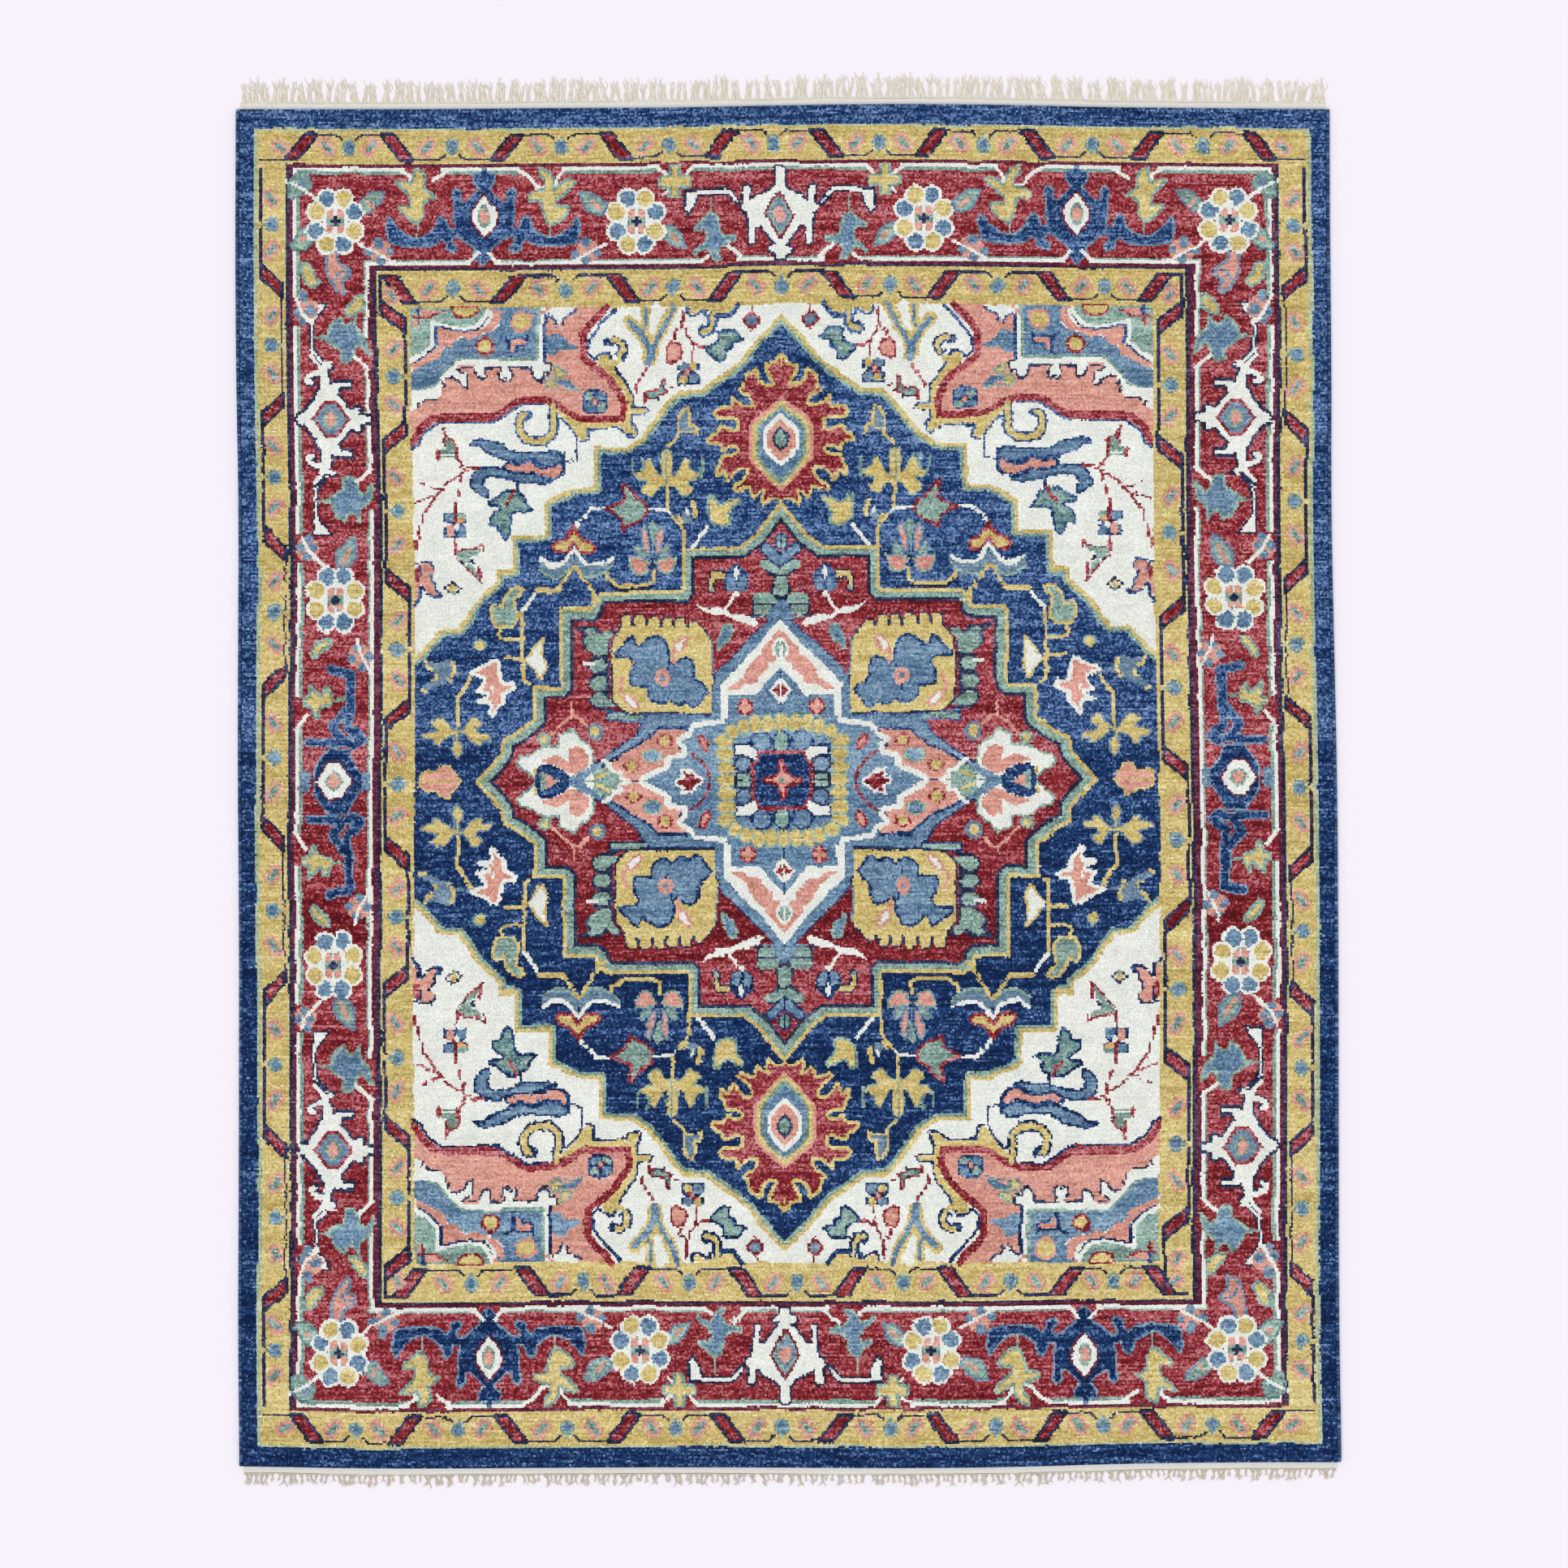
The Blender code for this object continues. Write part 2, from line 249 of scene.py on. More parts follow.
def draw_gold_square(chart):
    """The toothed gold square with a blue leaf, and the sage buds down its side."""
    chart.area("sage", "98,34 77,34 77,37.5 98,38.5", "navy", 1.4)
    chart.area("dark", "117,87.5 113,86 104,87 99,82 94,87 92,84 97,78 97,41 91,41 96,39.5 104,40 108.5,44 "
        "107.5,49.5 106,51 109,55 107.5,59 106,61 109,65 107,69.5 105,71 110,74 112.5,78 111,82")
    chart.area("sage", "110.5,84.5 107,85.5 104,84 101,81 99,82.5 96.5,85 94,84.5 93.5,82.5 98,76.5 "
        "98,70.5 104,71 109.5,75 111,78 108,81.5")
    for v in (45.5, 55, 65):
        chart.disc("sage", 102.6, v, 4.6, 4)
    chart.area("sage", "101,42 92,41.6 94,44 98,46.5")
    chart.line("ivory", 1, "111,66.5 105,66.5")
    teeth = ("95,45 95,77 92,81 90,84 89,86 89,91 87,92.5 84,92 83.5,86.5 81.5,86 81.5,91.5 80,92.5 "
             "77,92.5 76,91 75.5,86.5 73.5,86.5 73,91.5 71,92.5 69,92 68,91 67.5,86 65.5,86 65,91 "
             "63,92 61,91 60,86 58.5,86 58,91 56,92 54,91 52.5,86 51,86 50.5,88 49,89 46,87.5 43,84 "
             "40,80.5 39,78 39,60 37.5,58 37.5,56 39,53 39,38.5 87,38.5 92,42")
    chart.area("gold", teeth, "dark", 1.8)
    chart.area("gold", teeth)
    chart.line("blue", 1.2, "38,78 38,60")
    chart.area("blue", "86.5,77.5 84,80 82,80.5 81,77 80,75 77.5,75.5 76,78 74,79.5 70,80.5 66,80 64,77 "
        "62.5,73 62,66 60,64.5 58,66 55,68 52,68.5 49.5,67 48.5,64 48.5,58 47,56 44,54.5 42,52 40.5,50 "
        "43,47.5 45,44 47,42 49,41 51,43 54,44 56,42 59,42 61,44.5 63,45.5 65,43.5 68,43 71,44 74,46 "
        "75,47.5 75,52.5 84,53 85,56 84.5,62 83,64 82,66 84,69 92.5,69.5 93,72 90,74.5 87.5,76", "navy",
        1.5)
    chart.line("navy", 1.5, "63,66 63,56")
    chart.disc("pink", 66, 58, 4.3, 4.3)
    chart.disc("pale", 66, 58, 1.9, 1.9)
    chart.line("navy", 1.3, "66,53.5 66,50")
    chart.area("ivory", "89,48.5 86,49 83,47 80,42.5 82,41 85,42 88,46", "pink", 1.5)
    chart.line("pink", 1.8, "90,49 90.5,54 88,59")
    chart.line("pink", 2, "59.5,73 60,70 59,65.5")
    chart.area("ivory", "59,76 56,80 53,80.5 51.5,79 53.5,77 54.5,73 57,71.5 59,73", "pink", 1.5)
    chart.line("pink", 1.3, "54.5,75.5 51.8,75.5")


def draw_red_ground(chart):
    """What lies on the red ground: vines, buds and the palmettes on the two axes."""
    chart.area("ivory", "47,99.7 44,98.2 39,96.4 31,95.8 28,94.2 25,92.2 15,91.8 13.2,89.5 12.4,86.8 "
        "14,85.7 19,87 25,89 31,92.3 38,92.6 44,96")
    chart.line("ivory", 1.9, "31,95.5 28,98.5 26.5,102 24,105")
    chart.line("dark", 4.6, "31.5,115.2 37.2,115 38.6,111 38.2,106.5")
    chart.line("gold", 2.7, "31.5,115.2 37.2,115 38.6,111 38.2,107.5")
    chart.line("sage", 1.8, "37.8,108 38.4,106")
    chart.area("navy", "30.5,113.5 27.5,119 24,121.5 21,118 17,115 17.5,109 20,105 24,105.5 29,105 "
        "31.5,109")
    chart.area("blue", "29,112.5 26,113.5 25,108 25.5,105.8 29,106 30.3,109")
    chart.area("blue", "23.5,108 22.5,113 19.5,113.5 18.5,109 20.5,105.8 23,105.8")
    chart.area("ivory", "25.3,118 23.7,119.5 22.8,117 23.3,112 24.9,112")
    chart.area("ivory", "25.5,104.5 23.4,105.3 22.6,103 24.5,102")
    chart.line("dark", 1.6, "16.8,104 16.8,92 15.3,91")
    chart.area("red", "16,104 16,92 28,93 30,95")
    chart.area("dark", "17,105.8 5.5,106.4 5,104 15,104 16,92 12,91 0,96 0,127 6,124 9,123.5 12.3,119 "
        "6,114.5 3.5,112 5.5,106.2")
    chart.area("red", "16.5,107 6.3,107.2 5.3,109.5 5.5,114 11,119 13,121 17,115.5")
    chart.area("sage", "15.5,102 13,104.5 8,105 4,103 3,100 4.5,98.5 14.5,98.8")
    chart.area("sage", "14.7,97.7 5.5,97.3 5,94.5 9,91.3 13,92.3 15,95")
    chart.area("blue", "4.6,97 3,99.3 0,101 0,93 5,91 12.5,91 7.5,91.8")
    chart.area("sage", "3.8,103.5 3.4,107 4,111.5 2,114 0,114 0,102.5")
    chart.area("sage", "11.5,120 9.7,123 6.5,122.6 3,120 0,117.5 0,114.5 3,114.5 7,117 10,118")
    chart.area("blue", "11.2,129.5 9,132 6,131.5 3.5,128.5 0,127 0,120 4,121.5 7,124.8 10.8,127.8", "navy",
        1)
    chart.area("sage", "3.4,133 2.6,136 0,138 0,129 3,130", "navy", 1)
    chart.area("blue", "31,86.5 27,86.5 26.5,83 28,79 32,75 35,73 35,78 33,82 32,85", "sage", 1.5)
    chart.line("red", 1.2, "32,75 24,77")
    # the side palmette
    chart.line("pink", 1.6, "130,26 122,33 118,36 115,36 110,31 106,30")
    chart.line("pink", 1.9, "118,36 118,44")
    chart.disc("pale", 104.8, 27.5, 5, 5)
    chart.area("red", "107.5,31 108.5,30 109.5,31.5 108.5,32.5")
    chart.disc("gold", 104.8, 27.5, 2.8, 2.8)
    chart.disc("sage", 134.4, 23.5, 3.8, 3.8)
    chart.disc("gold", 134.2, 23.4, 2.2, 2.2)
    chart.area("ivory", "118.5,29 121,27 126,25.5 126.5,19 132,19.8 138,18 141,15 148,13.5 149.5,10 147,7 "
        "143,5 139,0 105,0 108,7 106.5,12 107,17 109.5,20.5 113,22.5 116,26", "sage", 1.3)
    chart.area("pink", "120.5,12 120.5,18 116,19.8 113,18.5 110,14 110,9 113,6.5 117,4 121,4.5")
    chart.area("pink", "134,12.5 128,14.6 123,12.5 117,7 120,4 127,8.6 134,10.5 137,11.3")
    chart.area("navy", "140,0 139,7 136.5,9.5 130,9.5 124,6 117,0")
    chart.disc("gold", 139.5, 5.5, 1.5, 1.9)
    chart.area("sage", "137,0 137,5.5 133,4.5 126,0")
    chart.area("pink", "134,0 134,3.2 131,3 127,0")
    chart.area("blue", "119,0 121,1.5 112,7 109,8 104,10 104,7.5 113,0")


def draw_navy_ground(chart):
    """What lies on the navy ground: gold maple leaves, flowers, birds and vines."""
    # maple leaf by the side, on its stem
    chart.area("gold", "203,26.5 198,28 194,29 198,33 195.5,35 191,36.6 188,33 185.5,29.5 179,29.3 177,33 "
        "175,36 172,36 169,33.5 169,31 172.5,30 171.5,27.5 166,27 163.5,24.5 164,22.5 168.5,23.5 169,21 "
        "171.5,19.5 175,22 178,25 181.5,27.5 182,23.5 180,20 180,17 182.5,12.5 185,15.5 185.8,18.5 "
        "184.5,22 184.5,26 187,25.5 191,23 193,20 195.5,20 196.5,23 202,24", "pale", 1)
    chart.line("gold", 2.1, "182.8,31 182.8,47 180,50 177,55 175,59")
    chart.line("pale", 1.2, "175,59.5 180,60.5 185,60.5")
    # pink star leaf
    chart.area("pink", "175,61 169,64 166,65.5 163.5,67.3 159.5,67 158.8,57 156,54.5 152,55 150.5,52.5 "
        "154,50.5 157,49 157,44 160,41 163,37 165,38.5 163.5,41.5 164.5,44.5 171,45 166.5,46.5 165,49.5 "
        "172,50.5 169,53 167.5,56 168,58.5 172,59.8", "ivory", 2.2)
    chart.line("ivory", 1.4, "163.5,53 163,50.5")
    # pale bird at the side
    chart.area("pale", "201,67 198,67.5 195,66 188,68.5 184,67 183.5,62 186,57.5 190,55.5 194,53 202,50 "
        "203,52.5 200,55 195,57.5 195,60.5 200,63", None)
    chart.line("gold", 2, "200.5,67.5 199,64 197,63")
    chart.line("gold", 2.2, "185.5,67 184.5,63 185.5,59.5")
    chart.line("gold", 1.6, "194.5,60 194,57.5 197,57")
    chart.line("gold", 1.8, "203,51.5 200,50.5")
    chart.line("gold", 1.8, "188,57.5 186.5,56.5")
    # border of the pile at the side of the medallion: ivory and pink flower beside the field's edge
    chart.area("pink", "204.5,0 204,3 199,5.5 194.5,5 193,7.5 189.5,9 187.5,9 186,5.5 183.5,3.5 181.5,0",
        "gold", 1)
    # gold frame, leaf and half moon
    chart.line("gold", 1.9, "145.2,96 145.2,56 142,54")
    chart.line("gold", 1.9, "145.2,79.7 157,80 158.4,82.5 157.5,85")
    chart.line("gold", 1.9, "156,69.2 145.2,69.2")
    chart.area("ivory", "133.5,79.5 137,77 139.5,74 141,70 143.5,67.5 141.5,65.5 139,62 137.5,58.5 "
        "135.5,57.5 134.5,60 132.5,64 133.5,66.5 134.5,72", "gold", 1.5)
    chart.area("ivory", "136,70 143,70 143.5,66.5 139,63 136,61 134.5,66")
    chart.area("sage", "162.5,98 162.5,91 160,86.5 152,86 148,91 149.5,99 150,101.5 147,104 144.5,107 "
        "147,108.3 151,108 154,104 156,101 156.5,97 158.5,99 161,99.5", "gold", 1.7)
    chart.disc("sage", 170, 76.5, 3.4, 3.6)
    chart.disc("gold", 170, 75.8, 2.6, 2.8)
    chart.line("ivory", 2.2, "145,96 142.7,98")
    for u, v in ((143, 97.7), (141.2, 100.3), (139, 103.5)):
        chart.line("ivory", 1.9, [(u - 0.6, v + 1), (u + 0.6, v - 1)])
    chart.line("gold", 2.2, "137.5,107 123.5,107 123,109")
    chart.line("gold", 1.9, "121.8,111 119.3,114 117,118 115,119.8 113,118 110.8,113.5 108.6,111")
    chart.line("gold", 2.1, "107.3,109 107,107")
    chart.line("gold", 2.2, "104.6,105.5 104.6,101 101,100")
    # winged palmette under a gold peak
    chart.area("pale", "136,125.5 133.5,125.5 131,122.5 128,121 123,121 120,124 118,127 116,130.5 "
        "115,131.5 114,130 112,127 110,124.5 107,122 101,122 98,123 95,124.5 92.7,125.5 92.7,122 95,119 "
        "98,116.5 102,114.5 109,114.5 112,117 115,121 118,118 121,115 125,114 129,115 133,117.5 136,120")
    chart.line("sage", 1.6, "135.5,119 129,115 125,114.2 121,115.5 118,118.5")
    chart.line("sage", 1.6, "112.5,117.5 109,114.8 102,114.8 98,116.8 93.5,121")
    chart.line("ivory", 2.1, "135,124.5 133,123.5 130,121 124,121 120.5,123.5 118,126.5 115.3,130 "
        "112.5,127 110,124 106.5,121.2 101,121.2 97.5,122.5 93.5,124.5")
    chart.line("navy", 1.4, "115.3,128 115.3,125.5")
    chart.line("gold", 1.9, "119,114.5 117,118 115,119.8 113,118 111,114")
    for side in (1, -1):
        petal = read("115.2,141 118,138 120,135.7 125,134 127.3,131 126,128.3 118.5,129 116,133 115.2,136")
        petal[:, 0] = 115.2 + side * (petal[:, 0] - 115.2)
        chart.area("gold", petal, "red", 1.7)
    chart.area("gold", "117.5,137 115.2,140 113,137 115.2,134.5")
    chart.line("red", 1.6, "118.3,139 115.2,142.8 112.2,139")
    for u, v in ((113.2, 144), (111.3, 146.7), (108.9, 148.8)):
        chart.disc("ivory", u, v, 1.3, 1.3)
    chart.line("ivory", 1.5, "107.8,150 105.5,152.6 97,152.8")
    chart.area("sage", "97,152.3 92,154.2 89,155.3 86.5,157 87.5,166 84,164 81,160 78,157 75.5,155.5 "
        "73.2,151.5 75.5,148 79,144.5 83,143.5 87.5,141 88,146.5 91,149", "red", 1.7)
    chart.line("ivory", 1.3, "73,151.8 63,151.4 60.6,149.5")
    # large gold maple leaf
    chart.line("sage", 1.8, "82,180 82,173.5 80.5,171")
    chart.line("sage", 1.5, "77,181 75.6,176 77,173.5")
    chart.line("sage", 1.6, "43.6,179.5 43.4,169")
    for side in (1, -1):
        half = read("62.6,166 66,165 69,162.5 70.5,159.6 73.5,159.6 76.5,162 77,163.5 74.5,165.5 73.5,168 "
                    "78.5,168.5"
                    " 81,171.5 77,172.6 75,174.5 74.6,178.5 72.5,180 71,177 69,173 67,170.3 65,170 "
                    "65.6,177 65,183.5"
                    " 62.6,185.5")
        half[:, 0] = 62.6 + side * (half[:, 0] - 62.6)
        chart.area("gold", half, "sage", 1.2)
        chart.area("gold", half)
    chart.line("gold", 2, "62.5,165 62.3,152")
    chart.line("gold", 2, "59.5,148 57.5,145.5 54.3,141.5 53.4,138 53.4,131")
    chart.line("gold", 2.6, "48.3,155 47.2,151 47.3,147.5")
    chart.area("pale", "52.5,151.5 50,150 50,145 53,144 55,147")
    chart.line("gold", 1.7, "56.5,148 54.5,144.5")
    chart.line("ivory", 1.6, "52,151.5 51.3,149.5")
    chart.area("gold", "39.5,158.5 36,158.5 34.5,154.5 32,153.8 28,156.3 24,157.3 22.5,155.5 26.5,152 "
        "28.3,149 27.3,146.5 27.5,143 32,142 36.5,143.8 39,147 39.6,153", "sage", 1.4)
    for u, v in ((47.5, 132.2), (45.8, 134), (43.8, 136.8), (41.7, 139.3), (40.2, 141.3)):
        chart.line("ivory", 1.9, [(u + 0.9, v - 0.9), (u - 0.6, v + 0.9)])
    # pink carnation
    chart.line("gold", 1.9, "70.2,118 70.2,111.5 74,109.8 90,109.6 93,112 96.3,113.2 96.6,116")
    chart.line("dark", 1.2, "71.5,108.3 76,107.5 90,107.6 94,110.4 98.2,112.2")
    for side in (1, -1):
        lobe = read("74,121 74.5,117.5 78,116 81.5,117 83.5,121 84,125.5 79,125 75,124 72.5,123")
        petal = read("72.5,126 73,135 75.5,143 77.5,140 76.5,133 75,128")
        leaf = read("81.5,131 79,131.8 75.5,128.5 74.5,125 80,126.3")
        for piece, yarn, edge in ((lobe, "pink", "sage"), (petal, "pink", "pale"), (leaf, "sage", "pale")):
            piece[:, 0] = 71 + side * (piece[:, 0] - 71)
            chart.area(yarn, piece, edge, 1.1)
    chart.area("sage", "73.5,142 71,145.8 68,142 70.5,130")
    chart.line("dark", 1.6, "71,121 71,124")
    chart.line("pale", 1.6, "71,126 71,134")
    # pale L-shaped bud
    chart.area("pale", "57,195 57,203 54,207.5 51,209 50.5,198.5 47,198 46,193.5 49,195", "gold", 1.7)
    chart.line("gold", 1.9, "57,196 56.6,192 58.5,190 61.5,187.5")


def draw_flame(chart):
    """The red flame palmette on the long axis."""
    flame = ("0,156 3,158 5,157.5 9,154.5 10,153.5 10.3,157 9.5,162.5 11.5,161.5 13,159.5 15,157.5 "
             "16.5,160.5 17.5,164"
             " 20,163 25,161.5 26.5,163 24,165.3 21.5,167 19,170.5 17.6,173 20,175 23,174.5 25.4,172.3 "
             "27.3,171"
             " 27.5,169 29,167 30.5,169.5 30.2,172.3 33,172.3 35.2,170 36,174 34,176.3 33,180 31,182 "
             "27,181.6 24,183"
             " 23.3,185 25.5,186.6 29,186.6 32,184 33.2,187 35,188.2 40,188.5 40.6,190.4 38,193 35,194.3 "
             "34,198"
             " 31,197.2 27,195.6 23.7,196.2 23.3,200.5 26,202.4 35,202.4 36.5,205 34,208 27,208.6 "
             "26.5,213.5"
             " 24,211.5 22.3,210 20,208.5 15,208.6 15.2,211.5 17.5,215 20,215.5 23,218.5 20.5,219.5 "
             "19.5,226 16,228.5"
             " 14,229.5 13.5,226 11.5,222 8,220.3 4,220.7 6,224 8.7,229.5 8.6,231.5 4,232.2 2,235 0,237")
    chart.area("red", flame + " 0,156", "gold", 1.9)
    chart.area("red", "0,156.5 6,158 8,163 13,161 15.5,160 17,165 22,164 18,171 17,174 20,176 24,175 "
        "29,170 31.5,174 32,178 26,180.5 22,184 23,187 29,187.5 33,190 30,193.5 23,194.5 22,201 26,204 "
        "30,206 25,208 18,207 13,208.5 15.5,213 18,217 17,222 14,222 11,219 6,219 3,221 6,226 6,230 0,230")
    chart.area("pink", "0,161 4,164 8,168.5 13,174.5 17.7,179 17.7,197.5 13.5,203.5 9,206.5 4,211 0,214")
    chart.area("gold", "0,162.5 4,165.5 8,170 13,176 16,180.5 16,197 12.5,201.5 8,205 3,209.5 0,212")
    chart.area("sage", "0,165 4,168 8,172.5 11.5,177 13.3,181.5 13.3,196.5 10.5,200.5 6,204.5 0,209")
    chart.area("blue", "0,168 4,171 8,175.5 10.5,179 11.8,183 11.8,196 9,199.5 5,203 0,207")
    chart.area("ivory", "0,175 4,178 8,182 9.5,185 9.5,195 7,198.5 3,202.5 0,205")
    chart.area("pink", "0,178 4,181.5 7.3,186 7.3,193.5 4.5,197.5 0,202")
    chart.area("dark", "0,183.5 3,186.5 4.7,190 3,195 0,198")
    chart.area("sage", "0,185.5 2.2,187.5 3.4,190 2,193.5 0,195.5")


def draw_ivory_ground(chart):
    """What lies on the ivory corners: blue feather leaf, birds, flowers and red vines."""
    chart.area("blue", "172.5,188.5 171,190.8 167,191.6 160,190 155,189 151,186 147,184 138,184 132,184 "
        "125,185 122,184 120,181 125,178 130,177 135,178 138,181 142,179.5 146,178 149,180 153,180 158,182 "
        "163,184 168,188.5", "navy", 1.5)
    chart.area("pink", "154.5,176 150,179.8 147,177 142,178.3 139,180 136,177 130,176 125,177.5 122,180 "
        "120.7,175 123,171 128,169.3 135,172 140,173.2 147,172.5 152,174", "navy", 1.5)
    chart.area("blue", "172.5,169 171,173 168,175.5 160,176 155,175 150,173 146,172 140,173 135,171 "
        "130,168.5 127,168 131,166.5 140,167 145,167 150,169 157,170.5 162,171 165,170 166,166 164,163 "
        "164,159 167,160 171,163 173,166", "navy", 1.5)
    chart.line("navy", 1.6, "120.3,184 120,174 123,170.5")
    chart.area("moss", "164,156.5 160,158 155,162 151,163 147,162 143,159.5 142,155 138.5,152 143,151 "
        "148,152 150,150 151,145 152,139 154,136 157,139 158,143 163,143.5 163,147 161,150 157,152 156,154 "
        "163,154.5", "navy", 1.6)
    chart.area("sage", "159,156 153,160 150,157 154,155 153,148 158,148 155,152")
    chart.area("sage", "148,160 144,157 141,153 146,155")
    chart.line("red", 1.9, "148.5,162.5 151,158 153,154.5")
    chart.line("navy", 1.5, "146.5,161 146.8,168")
    # tulip leaf
    chart.line("red", 1.9, "188.3,198 187.5,194 183,191 181.6,188.5 181.6,181")
    chart.line("red", 1.8, "187.5,194 187.6,188")
    chart.line("red", 2, "192,185.5 192,180.5")
    chart.area("sage", "191,186 188,186.5 186.5,193 183,190.5 182,183 190,183.3")
    chart.line("sage", 1, "190,182.3 182,182.3")
    chart.line("red", 1.3, "181,180.5 179,178 178,175 175.5,173.7")
    chart.line("red", 1.2, "175.3,176 172.5,175.4 168,175.4")
    chart.line("red", 1.8, "178.3,173 178.2,167.5")
    chart.line("red", 1.7, "180,165 180.4,160")
    chart.line("red", 1.9, "182.2,156 182.3,151")
    for u, v in ((179, 171.5), (181, 170.8), (183.6, 169.3), (186, 168), (188, 166.3), (190, 163.2), (192.3,
            161.3)):
        chart.line("red", 1.3, [(u - 0.9, v + 0.4), (u + 0.9, v - 0.4)])
    chart.line("red", 1.1, "189.5,163.5 195,164 196.5,165.5")
    chart.line("red", 1.1, "199.5,165.5 200.5,167 202.5,166.5")
    chart.line("red", 1.1, "193,160.5 198,159.3 201,157.6 205,156.5")
    for u, v in ((194.5, 158.7), (196.5, 155.3), (198.7, 152.2)):
        chart.line("red", 1.9, [(u - 0.4, v + 0.9), (u + 0.4, v - 0.9)])
    chart.line("red", 1.6, "200.8,149.5 200.8,145")
    chart.line("red", 1.7, "203,142.5 203.5,136.5")
    chart.line("red", 1.7, "205.3,135 205.3,130")
    # four-petalled flower
    chart.area("navy", "189.5,150 186,151 179,151 176.3,148 176.3,145 179,144 176.4,142 176.4,136 "
        "189.5,137 189.5,142 185,144 189,145.5")
    chart.area("ivory", "183.5,145.5 181,144 180.5,139 183.5,141.5")
    chart.disc("blue", 186, 147.8, 2.8, 2.6)
    chart.disc("sage", 179.7, 148, 3, 2.5)
    chart.disc("orange", 179.8, 146.2, 2.2, 1.8)
    chart.area("pink", "188,143 185,144.5 183.3,142 184,138 186,136.5 188,139")
    chart.disc("blue", 179.2, 139.6, 2.7, 3.2)
    chart.line("red", 1.5, "182.7,149.5 182.4,146 184.2,143")
    chart.line("red", 1.7, "183,135.5 182.4,127.5")
    # sage leaf, red outline
    chart.area("sage", "182.5,127.5 178,129.7 168,130.7 169.5,127.5 174,126 174.5,121.5 172,120.5 171,116 "
        "169.5,112.5 172,113.3 177,119 176,122 180,123.5")
    chart.line("red", 1.2, "182.5,128 178,130 171,130.5 168,132.5")
    chart.line("red", 1.9, "167,132.5 167,129")
    chart.line("red", 1.3, "182,125 177,120 171,113 168.6,111")
    chart.line("red", 1.9, "169.2,120 169.3,112.5")
    chart.line("dark", 1.6, "173.5,123.5 172.5,122")
    chart.line("dark", 1.5, "179,122.3 178.3,121.7")
    # pink bird at the side
    chart.area("pink", "203,123 197,123 195.3,118 197.5,114 195,109.5 193.5,106.5 191,104 197,103.8 "
        "200,106.5 203,110.5 204,106.5 205,102.5 207,102.5 207,113.5 203,115.5")
    chart.line("navy", 1.4, "206,122 203.5,121.5 202.8,115.5")
    chart.line("navy", 1.4, "203,123.3 196,122.5 194.8,118.5")
    chart.line("navy", 1.6, "197.4,116 197,112.5 194.8,110.5 194.8,107.5 191.2,104.3")
    chart.line("navy", 1.2, "199.5,105 196,103.6 191.2,103.6")
    chart.line("navy", 1.8, "202.5,108.5 200.8,107.5")
    chart.line("navy", 2, "203.5,109 203.5,103 206,99.5 206.5,98")
    chart.line("red", 2, "205,119.5 205,113")
    # small flower
    for u, v in ((186.3, 109.8), (183, 110.3), (186.6, 106.7), (182.3, 106.2), (188.5, 108.4), (180.7,
            108.2), (184.8, 111.4)):
        chart.line("dark", 1.7, [(u - 0.4, v), (u + 0.4, v)])
    chart.disc("gold", 184.6, 108.3, 2, 1.9)
    chart.disc("sage", 184.6, 105.2, 1.1, 1)
    # by the medallion's tip
    chart.line("red", 1.4, "16.2,265 16.2,261")
    chart.disc("red", 16.2, 256.8, 5.2, 4.6)
    for u, v in ((20.5, 261), (20.3, 252.8), (12, 261), (12, 252.8)):
        chart.disc("ivory", u, v, 1.7, 1.7)
    chart.disc("pale", 16.2, 257, 3, 3)
    chart.line("red", 1.2, "16.3,252 16.8,251")
    chart.line("navy", 3.2, "24,265.5 27,262 29,259.5 37,259.5")
    chart.area("gold", "25,266 27.5,263 29,260.5 39,260 41,264 46,263 48,261 50.5,262 50,264.5 48,266")
    chart.line("navy", 1.6, "51.5,265 51.5,261 48,259.8 44,262.5 41.7,263 41.3,260")
    chart.line("navy", 5.2, "37.4,260 37.6,254 40,251 43.5,250.5")
    chart.line("gold", 2.8, "37.4,261 37.6,254.5 40,251.6 44,251")
    chart.line("navy", 1.5, "45.8,253 46,250.5 43.5,248.6 40,249")
    chart.line("navy", 1.4, "39.5,258 39.5,255.3 41.5,253.5 43.5,255 45.5,253.5")
    chart.area("moss", "34.3,251 31,251.8 26,251.3 24,250 23.5,247.8 21.5,246.5 24,245.2 27.5,245 27.3,242 "
        "30.5,241 31.5,235 33.5,234.3 37,236.5 40,239 41.5,242.3 38.5,243.2 34,245.8", "navy", 1.5)
    chart.area("sage", "32.5,249.5 28,250.3 25,248.5 29,246.7 31.5,243 32,237 36,238.5 38.5,241.5 "
        "34.5,243.5")
    chart.line("red", 1.4, "41.8,242.6 46,242.5 49.3,245.3 51.3,247.3 53,250 52.8,251.8")
    chart.line("red", 1.7, "49.2,245 49,238 49,235")
    chart.line("red", 1.6, "54.8,262.5 54.8,253")
    chart.line("red", 1.3, "57.6,251.6 56.2,251")
    chart.line("red", 1.9, "58.6,250 58.8,247")
    chart.area("pink", "60.8,245.5 57.5,245 55,243.7 54.6,238.8 56,236.5 58,235.7 60,234.3 62.8,235 "
        "62.8,243", "red", 1.5)
    chart.area("navy", "57.5,234 45,234 45,230 47.5,229.5 45,226.5 45,221.5 57.5,221.5 57.5,227 55,228.8 "
        "57.5,230")
    chart.disc("pale", 53.9, 231.8, 2.6, 2.4)
    chart.disc("gold", 48.3, 232, 2.2, 2.6)
    chart.disc("gold", 53.9, 224.7, 2.2, 2.6)
    chart.disc("pale", 48.3, 225, 2.7, 2.7)
    chart.line("red", 2, "53.5,227.5 50,230.5")
    chart.line("pink", 2.2, "51.8,229 51,227.5")
    chart.line("red", 1.8, "60.8,220 59.8,220")
